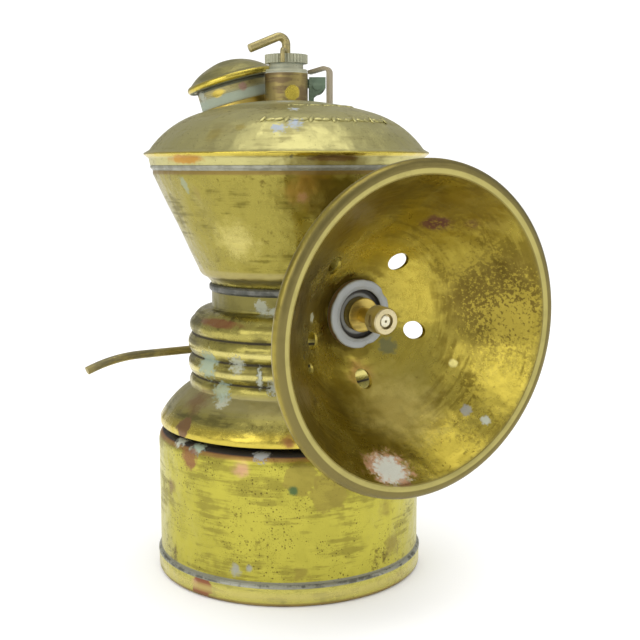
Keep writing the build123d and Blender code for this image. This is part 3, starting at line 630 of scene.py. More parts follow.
CONE_STAINS_AND_HIGHLIGHT = (
    spot((0.42, 0.27, 0.06), 24.3, -113, 74.6, 5.0, metal=0.9, rough=0.35, grain=0.4, ragged=1.6,
         core=0.1),
    wash(OLIVE, 23.4, -103, 72.4, 6.5, rough=0.35, ragged=1.0, core=0.1, strength=0.9),
    wash(OLIVE, 21.0, -98, 66.0, 6.0, rough=0.35, ragged=1.0, core=0.1, strength=0.8),
    wash(COPPER, 23.7, -114, 72.4, 1.5, ragged=1.6, strength=0.5),
    # Painted highlight: a pale gold patch on the left middle of the wall.
    spot(PALE_GOLD, 20.0, -148, 64.5, 5.5, metal=1.0, rough=0.24, core=0.0, strength=0.6),
    patch(VERDIGRIS, 24.6, -168, 74.0, (1.0, 1.0, 5.2), metal=0.4, rough=0.6, grain=0.8, ragged=2.0,
          strength=0.55),
    patch(OLIVE, 23.8, -162, 72.5, (0.9, 0.9, 5.4), rough=0.5, strength=0.7),
    belt(BROWN, 77.1, 0.9, rough=0.5, ragged=1.6, strength=0.6),
    wash(BROWN, 24.0, 70, 73.0, 5.0, metal=0.8, ragged=1.8, core=0.1),
    belt((0.40, 0.34, 0.14), 57.6, 1.5, metal=0.8, rough=0.4, strength=0.6),
)
DOME_STAINS_AND_HIGHLIGHT = (
    # Painted highlight: a gold ring along the top edge of the lip.
    belt(GOLD, 80.0, 0.55, metal=1.0, rough=0.2, ragged=0.8, core=0.4, strength=0.9),
    patch((0.46, 0.25, 0.05), 26.6, -163, 79.1, (5.5, 5.5, 1.0), metal=0.9, rough=0.3),
    patch(BROWN, 26.6, -104, 79.2, (6.5, 6.5, 0.75), metal=0.8, rough=0.35, ragged=1.1,
          strength=0.85),
    spot(BLACK, 26.6, -119, 79.3, 0.65, metal=0.2, rough=0.6, core=0.4, strength=0.85),
    bloom(22.9, -124, 84.4, 1.6),
    bloom(21.8, -117, 84.9, 1.7, ragged=2.8),
    bloom(16.0, -116, 87.4, 1.3),
    bloom(8.0, -122, 89.4, 2.2, grain=1.2, core=0.2, strength=0.7),
    spot(OLIVE, 22.5, -141, 84.6, 1.3, grain=1.2, ragged=1.9, core=0.3, strength=0.8),
    spot(OLIVE, 24.0, -152, 83.2, 2.4, metal=0.8, ragged=2.0, core=0.1, strength=0.6),
    belt(PALE_CRUST, 89.7, 1.2, metal=0.5, rough=0.5, ragged=2.2, strength=0.35),
)
DISH_STAINS_SHADE_AND_HIGHLIGHT = (
    ring_mark(GOLD, 11.5, 4.2, 27.0, FAR, metal=1.0, rough=0.26, grain=0.25, ragged=1.0, core=0.1,
              strength=0.45),
    # Painted shade: dark patches over the top and sides of the dish.
    shade((0.24, 0.17, 0.03), 21.0, 120, 37.0, 13.0, grain=0.3, strength=0.75),
    shade((0.24, 0.17, 0.03), 22.0, 60, 38.0, 11.0, grain=0.3, ragged=0.6, strength=0.65),
    shade((0.13, 0.09, 0.018), 21.0, 8, 37.0, 12.5, rough=0.34, core=0.4, strength=0.9),
    shade((0.26, 0.18, 0.03), 20.0, 175, 36.0, 11.0, strength=0.7),
    patch((0.13, 0.05, 0.03), 18.8, 62, 34.1, (3.6, 1.9, 4.0), metal=0.6, rough=0.4, ragged=1.0,
          core=0.45),
    wash((0.16, 0.08, 0.03), 21.5, 50, 37.5, 1.7, metal=0.7),
    etch(23.0, -2, 39.4, 8.0, strength=0.6),
    etch(24.0, -32, 40.6, 7.0, strength=0.7),
    etch(24.3, -70, 41.6, 6.5, rough=0.28, ragged=5.2, core=0.7, strength=0.85),
    etch(18.5, 40, 33.5, 7.0, grain=1.5, core=0.4, strength=0.45),
    # Painted highlight: a pale bright fan low in the dish, below the hub.
    spot((0.72, 0.60, 0.18), 16.0, -78, 31.5, 11.0, metal=1.0, rough=0.42, grain=0.5, ragged=0.8,
         core=0.0),
    patch(COPPER, 23.4, -101, 40.6, (5.8, 4.4, 5.0), metal=0.6, rough=0.5, grain=0.8, ragged=1.8,
          strength=0.85),
    patch((0.52, 0.52, 0.44), 23.6, -100, 40.8, (4.4, 3.4, 4.2), metal=0.15, rough=0.75, grain=1.2,
          ragged=1.9, raised=0.05),
    spot(RED_BROWN, 26.6, -96, 43.6, 2.2, metal=0.5, rough=0.5, ragged=1.6),
    spot((0.16, 0.17, 0.08), 8.8, -46, 25.0, 2.0, metal=0.5, rough=0.6, grain=1.0, ragged=1.8,
         strength=0.8),
    wash((0.55, 0.30, 0.10), 10.6, -92, 25.8, 3.6, rough=0.34, core=0.0, strength=0.75),
    spot(GREY, 21.6, -48, 37.8, 1.2, metal=0.3, rough=0.6, grain=1.4, ragged=2.0, strength=0.8),
    spot(PALE_CRUST, 23.7, -47, 40.9, 1.1, metal=0.2, rough=0.7, grain=1.4, ragged=1.8),
    spot(PALE_GOLD, 17.6, -30, 32.5, 1.0, metal=1.0, rough=0.3),
    spot(BLACK, 11.3, -157, 26.6, 0.8, metal=0.4, ragged=1.6, strength=0.7),
    spot(BLACK, 15.7, -160, 30.2, 0.7, metal=0.4, ragged=1.6, strength=0.7),
    spot(PALE_CRUST, 10.6, 178, 26.2, 1.0, metal=0.3, rough=0.7, grain=1.4, ragged=2.4,
         strength=0.8),
    ring_mark((0.36, 0.17, 0.05), 27.0, 0.55, 44.0, 0.4, metal=0.8, rough=0.35, ragged=1.6,
              strength=0.6),
    ring_mark((0.19, 0.155, 0.05), 26.6, 1.6, 43.0, 2.2, metal=0.9, rough=0.4, ragged=0.6,
              core=0.6),
    ring_mark((0.48, 0.42, 0.14), 26.0, 0.5, 43.9, 0.6, metal=1.0, rough=0.35, ragged=1.4,
              strength=0.8),
)
NECK_STAINS = (
    belt((0.36, 0.42, 0.34), 2.3, 1.7, metal=0.1, rough=0.85, grain=1.3, ragged=1.9, core=0.3,
         strength=0.9, raised=0.12),
    patch((0.62, 0.48, 0.10), 7.0, -115, 3.7, (2.0, 2.0, 0.9), metal=1.0, rough=0.3, ragged=1.0),
    spot((0.42, 0.27, 0.20), 7.0, -72, 3.6, 1.0, metal=0.6, rough=0.5),
    belt((0.10, 0.12, 0.10), 5.0, 0.7, metal=0.3, rough=0.7, ragged=1.8, strength=0.8),
    crust(PALE_CRUST, 7.0, -150, 4.2, 1.6, ragged=2.2, strength=1.0),
)
LID_STAINS = (
    ring_mark(GOLD, 8.5, 0.55, 5.9, 0.9, metal=1.0, rough=0.22, ragged=1.0, core=0.3),
    spot(PALE_CRUST, 6.4, 150, 7.8, 3.6, metal=0.4, rough=0.55, grain=0.7, ragged=1.8, core=0.1,
         strength=0.55),
    belt((0.20, 0.22, 0.15), 5.0, 0.35, metal=0.3, rough=0.7),
)
HOUSING_STAINS = (
    spot(GOLD, 4.05, -104, 91.3, 1.6, metal=1.0, rough=0.22, ragged=0.9, core=0.8),
    belt(PALE_CRUST, 95.3, 0.35, metal=0.2, rough=0.7, grain=1.4, ragged=1.6, strength=0.8,
         raised=0.03),
    belt(BROWN, 88.9, 0.9, metal=0.6, rough=0.4, ragged=1.6, strength=0.6),
)
NUT_STAINS = (
    ring_mark((0.40, 0.42, 0.42), 5.5, 0.9, 25.1, 0.8, metal=0.3, rough=0.6, grain=1.4, ragged=2.4,
              raised=0.1),
    ring_mark(BLACK, 4.2, 0.8, 24.4, 1.1, metal=0.2, rough=0.7, grain=1.0, ragged=0.8,
              strength=0.95),
    ring_mark(BROWN, 6.1, 0.5, 24.3, 0.6, metal=0.4, rough=0.7, grain=1.4, strength=0.9),
)


@dataclass(frozen=True)
class Plain:
    """Unmetallic stuff with a grain: rubber, felt, yarn, cork or ceramic."""

    name: str
    light: Colour
    dark: Colour
    scale: float
    rough: float
    relief: float
    coat: float = 0.0

    def material(self) -> bpy.types.Material:
        """Builds the material."""
        material, graph, shader = new_material(self.name)
        coordinates = graph.add("ShaderNodeTexCoord").outputs["Object"]
        place = graph.add(
            "ShaderNodeVectorMath", {0: coordinates, 1: (1 / MM,) * 3}, operation="MULTIPLY"
        )
        grain = graph.noise(place.outputs[0], self.scale, 5.0, 0.6).outputs[0]
        colour = graph.blend(graph.ramp(grain, 0.35, 0.65), (*self.dark, 1.0), (*self.light, 1.0))
        rough = graph.maths("MULTIPLY_ADD", grain, 0.2, self.rough - 0.1, clamp=True)
        height = graph.maths("MULTIPLY", grain, self.relief)
        shader.inputs["Coat Weight"].default_value = self.coat
        join_skin(graph, shader, colour, rough, height)
        return material


class Finish(Enum):
    """Every finish on the lamp."""

    CHAMBER = AgedMetal(
        "chamber_brass_aged", (0.47, 0.425, 0.065), (0.33, 0.29, 0.05), (0.14, 0.10, 0.025),
        cover=0.50, deep_share=0.9, fleck_scale=0.7, speck_size=0.3, smooth=0.24, rough=0.38,
        stains_and_painted_light=CHAMBER_STAINS_AND_SHADOW,
    )
    FOOT = AgedMetal(
        "bottom_brass_aged", (0.54, 0.49, 0.12), (0.36, 0.33, 0.10), (0.18, 0.13, 0.04),
        stains_and_painted_light=FOOT_STAINS,
    )
    COLLAR = AgedMetal(
        "collar_brass_aged", (0.38, 0.33, 0.085), (0.18, 0.155, 0.045), (0.08, 0.06, 0.018),
        cover=0.50, smooth=0.22, rough=0.36, stains_and_painted_light=COLLAR_STAINS_SHADE_AND_HIGHLIGHTS,
    )
    CONE = AgedMetal(
        "tank_brass_aged", (0.31, 0.265, 0.055), (0.19, 0.16, 0.03), (0.10, 0.07, 0.015),
        cover=0.49, smooth=0.22, rough=0.36, stains_and_painted_light=CONE_STAINS_AND_HIGHLIGHT,
    )
    DOME = AgedMetal(
        "dome_brass_aged", (0.50, 0.46, 0.19), (0.40, 0.36, 0.15), (0.20, 0.16, 0.06), cover=0.49,
        smooth=0.32, rough=0.46, stains_and_painted_light=DOME_STAINS_AND_HIGHLIGHT,
    )
    DISH = AgedMetal(
        "reflector_brass_aged", (0.40, 0.32, 0.055), (0.25, 0.19, 0.03), (0.13, 0.085, 0.015),
        frame=BURNER, cover=0.50, smooth=0.22, rough=0.34, uneven=0.035, stains_and_painted_light=DISH_STAINS_SHADE_AND_HIGHLIGHT,
    )
    FITTING = AgedMetal(
        "fitting_brass_aged", (0.55, 0.42, 0.11), (0.36, 0.27, 0.08), (0.16, 0.11, 0.04),
        cover=0.50, smooth=0.28, rough=0.45, uneven=0.02,
    )
    HOUSING = AgedMetal(
        "housing_brass_aged", (0.34, 0.27, 0.10), (0.22, 0.16, 0.08), (0.10, 0.07, 0.045),
        cover=0.52, smooth=0.28, rough=0.42, uneven=0.02, stains_and_painted_light=HOUSING_STAINS,
    )
    CAP = AgedMetal(
        "packing_cap_aged", (0.42, 0.42, 0.30), (0.30, 0.33, 0.26), (0.17, 0.12, 0.08), cover=0.52,
        smooth=0.45, rough=0.65, metal=0.55, uneven=0.03,
    )
    NECK = AgedMetal(
        "filler_brass_aged", (0.44, 0.38, 0.16), (0.30, 0.27, 0.17), (0.14, 0.12, 0.08),
        frame=FILLER, cover=0.52, smooth=0.35, rough=0.55, metal=0.8, uneven=0.03,
        stains_and_painted_light=NECK_STAINS,
    )
    FLANGE = AgedMetal(
        "flange_brass_aged", (0.56, 0.42, 0.10), (0.38, 0.26, 0.06), (0.18, 0.11, 0.04), cover=0.50,
        smooth=0.28, rough=0.42, uneven=0.02,
    )
    LID = AgedMetal(
        "lid_brass_aged", (0.40, 0.36, 0.13), (0.27, 0.25, 0.10), (0.14, 0.11, 0.05), frame=FILLER,
        cover=0.50, smooth=0.26, rough=0.42, stains_and_painted_light=LID_STAINS,
    )
    GREEN = AgedMetal(
        "green_brass_aged", (0.20, 0.27, 0.19), (0.13, 0.19, 0.14), (0.07, 0.08, 0.05), cover=0.52,
        smooth=0.4, rough=0.7, metal=0.5, uneven=0.03,
    )
    SPRING = AgedMetal(
        "spring_brass_aged", (0.46, 0.42, 0.30), (0.34, 0.22, 0.13), (0.22, 0.12, 0.08), cover=0.62,
        smooth=0.3, rough=0.5, metal=0.75, uneven=0.02,
    )
    NUT = AgedMetal(
        "oxidised_nut_aged", (0.46, 0.46, 0.42), (0.34, 0.35, 0.33), (0.10, 0.10, 0.09),
        frame=BURNER, cover=0.56, smooth=0.4, rough=0.65, metal=0.6, uneven=0.05, stains_and_painted_light=NUT_STAINS,
    )
    WIRE = AgedMetal(
        "wire_aged", (0.44, 0.37, 0.16), (0.27, 0.24, 0.13), (0.13, 0.10, 0.06), cover=0.54,
        fleck_scale=1.6, smooth=0.3, rough=0.5, metal=0.85, uneven=0.03,
    )
    SOLDER = AgedMetal(
        "solder_aged", (0.34, 0.34, 0.27), (0.15, 0.15, 0.12), (0.05, 0.045, 0.03), cover=0.53,
        fleck_scale=1.4, cloud_scale=0.5, smooth=0.35, rough=0.6, metal=0.7, uneven=0.05,
    )
    BAND = AgedMetal(
        "solder_band_aged", (0.16, 0.16, 0.14), (0.08, 0.085, 0.07), (0.03, 0.03, 0.02), cover=0.54,
        fleck_scale=1.2, cloud_scale=0.4, smooth=0.35, rough=0.6, metal=0.7, uneven=0.05,
    )
    HOOK = AgedMetal(
        "hook_brass_aged", (0.54, 0.44, 0.13), (0.38, 0.31, 0.10), (0.18, 0.13, 0.05), cover=0.50,
        smooth=0.28, rough=0.42,
    )
    TIP = AgedMetal(
        "tip_brass_aged", (0.60, 0.52, 0.30), (0.42, 0.36, 0.20), (0.20, 0.16, 0.08), cover=0.50,
        fleck_scale=1.6, smooth=0.28, rough=0.42, uneven=0.02,
    )
    RUBBER = Plain("rubber_aged", (0.05, 0.047, 0.043), (0.02, 0.019, 0.018), 0.8, 0.75, 0.02)
    FELT = Plain("felt_fibres", (0.46, 0.43, 0.37), (0.24, 0.22, 0.18), 2.5, 0.95, 0.08)
    YARN = Plain("yarn_graphited", (0.14, 0.13, 0.12), (0.05, 0.05, 0.05), 2.5, 0.85, 0.08)
    CORK = Plain("cork_aged", (0.26, 0.20, 0.12), (0.09, 0.07, 0.04), 1.2, 0.85, 0.06)
    CERAMIC = Plain("ceramic_cream", (0.80, 0.77, 0.60), (0.62, 0.57, 0.38), 1.5, 0.45, 0.01, 0.2)

    def dress(self, *pieces: bpy.types.Object) -> None:
        """Gives pieces this finish alone."""
        material = bpy.data.materials.get(self.value.name) or self.value.material()
        for piece in pieces:
            piece.data.materials.clear()
            piece.data.materials.append(material)


# ---- modelling --------------------------------------------------------------------------
def arc(start: Point, end: Point, bow: float, steps: int) -> list[Point]:
    """Points along an arc after its start.

    Args:
        start: First point, as radius and height.
        end: Last point.
        bow: Rise of the arc over its chord, to the right of travel.
        steps: Number of points to give.

    Returns:
        The points, the last of which is the end.
    """
    a, b = Vector(start[:2]), Vector(end[:2])
    chord = (b - a).length
    side = Vector((b.y - a.y, a.x - b.x)) / chord
    radius = (chord * chord / 4 + bow * bow) / (2 * abs(bow))
    centre = (a + b) / 2 + side * (bow - math.copysign(radius, bow))
    first = math.atan2(a.y - centre.y, a.x - centre.x)
    sweep = math.copysign(2 * math.asin(min(1.0, chord / 2 / radius)), bow)
    if abs(bow) > radius:
        sweep = math.copysign(2 * math.pi, bow) - sweep
    points = []
    for step in range(1, steps + 1):
        turn = first + sweep * step / steps
        points.append((centre.x + radius * math.cos(turn), centre.y + radius * math.sin(turn)))
    return points


def smooth_path(points: Sequence[Point], spacing: float) -> list[Point]:
    """Outline with its bowed sides cut into short steps and its long sides divided."""
    path = []
    for start, end in zip(points, list(points[1:]) + [points[0]]):
        chord = math.dist(start[:2], end[:2])
        steps = max(1, round(chord / spacing))
        if len(end) == 3:
            path += arc(start, end, end[2], max(steps, 5))
            continue
        for step in range(1, steps + 1):
            share = step / steps
            path.append(
                (start[0] + (end[0] - start[0]) * share, start[1] + (end[1] - start[1]) * share)
            )
    return path


class Bench:
    """Steps that every piece goes through, done with Blender's own tools."""

    @staticmethod
    def clear() -> None:
        """Leaves edit mode and deselects everything."""
        if bpy.context.object and bpy.context.object.mode != "OBJECT":
            bpy.ops.object.mode_set(mode="OBJECT")
        bpy.ops.object.select_all(action="DESELECT")

    @staticmethod
    def hold(piece: bpy.types.Object) -> None:
        """Makes a piece the only selected one and the active one."""
        Bench.clear()
        piece.select_set(True)
        bpy.context.view_layer.objects.active = piece

    @staticmethod
    def lathe(name: str, outline: Sequence[Point], frame_to: Matrix = UPRIGHT, steps: int = 128,
              spacing: float = 1.2, edge: float = 0.1) -> bpy.types.Object:
        """Turns a closed outline about +Z into a finished round piece.

        Args:
            name: Name of the piece.
            outline: Closed outline as radius and height in millimetres, with bows.
            frame_to: Frame that the piece is turned in.
            steps: Number of steps round the piece.
            spacing: Longest step along the outline.
            edge: Width of the rounding on sharp edges.

        Returns:
            The piece, with its place in its mesh.
        """
        Bench.clear()
        path = smooth_path(outline, spacing)
        first = Vector((path[0][0] * MM, 0.0, path[0][1] * MM))
        bpy.ops.mesh.primitive_plane_add(size=MM, location=first)
        piece = bpy.context.object
        piece.name = piece.data.name = name
        bpy.ops.object.mode_set(mode="EDIT")
        bpy.ops.mesh.select_all(action="SELECT")
        bpy.ops.mesh.merge(type="CENTER")
        place = path[0]
        for point in path[1:]:
            step = Vector(((point[0] - place[0]) * MM, 0.0, (point[1] - place[1]) * MM))
            bpy.ops.mesh.extrude_region_move(TRANSFORM_OT_translate={"value": step})
            place = point
        bpy.ops.mesh.select_all(action="SELECT")
        bpy.ops.mesh.remove_doubles(threshold=WELD)
        # The path starts after the outline's first point, so an edge closes it, off the axis.
        shape = bmesh.from_edit_mesh(piece.data)
        ends = [vertex for vertex in shape.verts if len(vertex.link_edges) == 1]
        if len(ends) == 2 and max(abs(end.co.x + piece.location.x) for end in ends) > MM * 0.01:
            bpy.ops.mesh.select_all(action="DESELECT")
            for end in ends:
                end.select_set(True)
            bmesh.update_edit_mesh(piece.data)
            bpy.ops.mesh.edge_face_add()
        bpy.ops.mesh.select_all(action="SELECT")
        bpy.ops.mesh.spin(steps=steps, angle=math.tau, center=(0, 0, 0), axis=(0, 0, 1))
        bpy.ops.mesh.select_all(action="SELECT")
        bpy.ops.mesh.remove_doubles(threshold=2 * WELD)
        bpy.ops.mesh.dissolve_degenerate(threshold=WELD)
        bpy.ops.mesh.normals_make_consistent(inside=False)
        bpy.ops.object.mode_set(mode="OBJECT")
        return Bench.finish(piece, frame_to, edge)

    @staticmethod
    def finish(piece: bpy.types.Object, frame_to: Matrix, edge: float) -> bpy.types.Object:
        """Rounds a piece's edges, smooths it and puts its place in its mesh."""
        Bench.hold(piece)
        bpy.ops.object.transform_apply(location=True, rotation=True, scale=True)
        if edge:
            bevel = piece.modifiers.new("edges", "BEVEL")
            bevel.width = edge * MM
            bevel.segments = 2
            bevel.limit_method = "ANGLE"
            bevel.angle_limit = BEVEL_ANGLE
            bpy.ops.object.modifier_apply(modifier=bevel.name)
        moved = frame_to.copy()
        moved.translation = frame_to.translation * MM
        piece.matrix_world = moved
        bpy.ops.object.transform_apply(location=True, rotation=True, scale=True)
        bpy.ops.object.shade_smooth_by_angle(angle=SMOOTH_ANGLE)
        return piece

    @staticmethod
    def cut(piece: bpy.types.Object, radius: float, length: float, place: Matrix) -> None:
        """Drills a round hole through a piece.

        Args:
            piece: What is drilled.
            radius: Radius of the hole in millimetres.
            length: Length of the drill, centred on its place.
            place: Frame of the drill, its places in millimetres.
        """
        Bench.clear()
        moved = place.copy()
        moved.translation = place.translation * MM
        bpy.ops.mesh.primitive_cylinder_add(vertices=48, radius=radius * MM, depth=length * MM)
        drill = bpy.context.object
        drill.matrix_world = moved
        Bench.hold(piece)
        hole = piece.modifiers.new("hole", "BOOLEAN")
        hole.object = drill
        hole.operation = "DIFFERENCE"
        hole.solver = "EXACT"
        bpy.ops.object.modifier_apply(modifier=hole.name)
        Bench.hold(drill)
        bpy.ops.object.delete()
        Bench.hold(piece)
        bpy.ops.object.shade_smooth_by_angle(angle=SMOOTH_ANGLE)

    @staticmethod
    def press(piece: bpy.types.Object, place: Vector, inwards: Vector, reach: float) -> None:
        """Presses a soft dent into a piece.

        Args:
            piece: What is dented.
            place: Middle of the dent, in millimetres in the row's frame.
            inwards: Depth and direction of the push, in millimetres.
            reach: Radius of the dent.
        """
        Bench.hold(piece)
        bpy.ops.object.mode_set(mode="EDIT")
        bpy.ops.mesh.select_all(action="DESELECT")
        shape = bmesh.from_edit_mesh(piece.data)
        nearest = min(shape.verts, key=lambda vertex: (vertex.co - place * MM).length_squared)
        nearest.select_set(True)
        bmesh.update_edit_mesh(piece.data)
        bpy.ops.transform.translate(
            value=inwards * MM,
            use_proportional_edit=True,
            proportional_edit_falloff="SMOOTH",
            proportional_size=reach * MM,
            use_proportional_connected=False,
        )
        bpy.ops.object.mode_set(mode="OBJECT")

    @staticmethod
    def wire(
        name: str, radius: float, route: Sequence[Vector], bends: dict[int, float]
    ) -> bpy.types.Object:
        """Round wire along straight runs with rounded bends between them.

        Args:
            name: Name of the piece.
            radius: Radius of the wire in millimetres.
            route: Corner points in millimetres.
            bends: Radius of the bend at each inner corner, by its number.

        Returns:
            The wire, closed at both ends.
        """
        Bench.clear()
        first = (route[1] - route[0]).normalized()
        turn = first.to_track_quat("Z", "Y")
        bpy.ops.mesh.primitive_circle_add(
            vertices=24,
            radius=radius * MM,
            fill_type="NGON",
            location=route[0] * MM,
            rotation=turn.to_euler(),
        )
        piece = bpy.context.object
        piece.name = piece.data.name = name
        bpy.ops.object.transform_apply(location=True, rotation=True, scale=True)
        bpy.ops.object.mode_set(mode="EDIT")
        bpy.ops.mesh.select_all(action="SELECT")
        at = route[0]
        for index in range(1, len(route)):
            along = (route[index] - route[index - 1]).normalized()
            if index == len(route) - 1:
                bpy.ops.mesh.extrude_region_move(
                    TRANSFORM_OT_translate={"value": (route[index] - at) * MM}
                )
                break
            after = (route[index + 1] - route[index]).normalized()
            angle = along.angle(after)
            axis = along.cross(after).normalized()
            back = bends[index] * math.tan(angle / 2)
            start = route[index] - along * back
            bpy.ops.mesh.extrude_region_move(TRANSFORM_OT_translate={"value": (start - at) * MM})
            centre = start + axis.cross(along) * bends[index]
            bpy.ops.mesh.spin(
                steps=max(6, round(math.degrees(angle) / 6)),
                angle=angle,
                center=centre * MM,
                axis=-axis,
            )
            at = route[index] + after * back
        bpy.ops.mesh.select_all(action="SELECT")
        bpy.ops.mesh.remove_doubles(threshold=2 * WELD)
        bpy.ops.mesh.normals_make_consistent(inside=False)
        bpy.ops.object.mode_set(mode="OBJECT")
        return Bench.finish(piece, UPRIGHT, 0.12)


def hand_over(piece: bpy.types.Object, body: str, slot: str, *nodes: str) -> None:
    """Fixes a piece to its body and hides the solids it stands for."""
    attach(piece, body)
    if nodes:
        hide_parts(*nodes)
    LOG.info("%s rides on %s: %d faces", piece.name, body, len(piece.data.polygons))


# ---- sub-assemblies ---------------------------------------------------------------------
@dataclass
class CarbideChamber:
    """Drawn cup with a rounded shoulder and neck, and the pressed cup under it."""

    radius: float = 25.4
    height: float = 27.8
    sheet: float = 0.7
    shoulder: float = 2.2
    neck_radius: float = 21.2
    neck_top: float = 31.6
    foot_radius: float = 25.85
    foot_height: float = 3.5
    foot_round: float = 0.8

    def build(self) -> None:
        """Builds and dresses the chamber and its bottom."""
        self._cup()
        self._bottom()
        Finish.SOLDER.dress(frame["nodes"]["bottom_seam"])
        Finish.RUBBER.dress(frame["nodes"]["chamber_gasket"])

    def _cup(self) -> None:
        """Wall, shoulder and neck in one sheet, a little dented by use."""
        turn = self.height - self.shoulder
        bend = self.radius - self.shoulder
        bow = self.shoulder * (1 - math.sqrt(0.5))
        inner_bow = (self.shoulder - self.sheet) * (1 - math.sqrt(0.5))
        cup = Bench.lathe(
            "chamber_cup",
            [
                (self.radius - self.sheet, self.sheet),
                (self.radius, self.sheet),
                (self.radius, turn),
                (bend, self.height, bow),
                (self.neck_radius, self.height),
                (self.neck_radius, self.neck_top),
                (self.neck_radius - self.sheet, self.neck_top),
                (self.neck_radius - self.sheet, self.height - self.sheet),
                (bend, self.height - self.sheet),
                (self.radius - self.sheet, turn, -inner_bow),
            ],
        )
        for azimuth, height, depth, reach in (
            (-146, 19.7, 0.16, 2.0),
            (-114, 17.3, 0.12, 2.0),
            (-119, 14.8, 0.14, 2.4),
            (-168, 11.0, 0.25, 6.0),
            (-95, 10.0, 0.2, 6.0),
            (20, 14.0, 0.3, 7.0),
            (100, 18.0, 0.25, 6.0),
        ):
            place = around(self.radius, azimuth, height)
            Bench.press(cup, place, -around(depth, azimuth, 0.0), reach)
        Finish.CHAMBER.dress(cup)
        hand_over(cup, "chamber", "chamber_brass", "carbide_chamber")

    def _bottom(self) -> None:
        """Shallow cup that closes the chamber and stands on the floor."""
        outer = self.foot_radius
        cup = Bench.lathe(
            "chamber_base",
            [
                (0.0, 0.0),
                (outer - self.foot_round, 0.0),
                (outer, self.foot_round, self.foot_round * (1 - math.sqrt(0.5))),
                (outer, self.foot_height),
                (self.radius, self.foot_height),
                (self.radius, self.sheet),
                (0.0, self.sheet),
            ],
            edge=0.12,
        )
        Finish.FOOT.dress(cup)
        hand_over(cup, "chamber", "chamber_brass", "chamber_bottom")


@dataclass
class RibbedCollar:
    """Bell, ribs and throat between the chamber and the tank."""

    bell_radius: float = 25.0
    bell_z: float = 28.85
    bell_curve_z: float = 30.05
    root_radius: float = 18.4
    ribs_z: float = 36.05
    first_root: float = 38.4
    pitch: float = 3.95
    crown_z: float = 49.3
    throat_radius: float = 14.7
    throat_z: float = 51.2
    tank_z: float = 55.7
    sheet: float = 0.7

    def build(self) -> None:
        """Builds and dresses the collar and what is soldered to it."""
        inner = self.root_radius - self.sheet
        throat = self.throat_radius - self.sheet
        roots = [self.first_root + index * self.pitch for index in range(3)]
        outline = [
            (self.bell_radius, self.bell_z),
            (self.bell_radius, self.bell_curve_z),
            (self.root_radius + 0.7, self.ribs_z, 0.55),
            (self.root_radius, roots[0], 0.45),
            (self.root_radius, roots[1], 1.0),
            (self.root_radius, roots[2], 1.0),
            (self.root_radius - 0.2, self.crown_z, 0.75),
            (self.throat_radius + 0.3, self.throat_z - 0.2, 0.6),
            (self.throat_radius, self.throat_z + 0.1),
            (self.throat_radius, self.tank_z),
            (throat, self.tank_z),
            (throat, self.throat_z - self.sheet),
            (inner, self.crown_z),
            (inner, self.ribs_z + 0.15),
            (self.bell_radius - self.sheet, self.bell_curve_z, 0.1 - 0.55),
            (self.bell_radius - self.sheet, self.bell_z),
        ]
        collar = Bench.lathe("collar_sheet", outline, spacing=0.5)
        for azimuth, height, depth, reach in ((-150, 33.0, 0.2, 4.0), (70, 33.0, 0.3, 5.0)):
            Bench.press(collar, around(22.0, azimuth, height), -around(depth, azimuth, 0.0), reach)
        Finish.COLLAR.dress(collar)
        hand_over(collar, "upper", "collar_brass", "ribbed_collar")
        nodes = frame["nodes"]
        Finish.BAND.dress(nodes["neck_solder"])
        Finish.COLLAR.dress(nodes["thread_ring"])
        Finish.FELT.dress(nodes["felt_filter"])
        Finish.FITTING.dress(nodes["felt_retainer"])
        Finish.WIRE.dress(nodes["retainer_ring"])


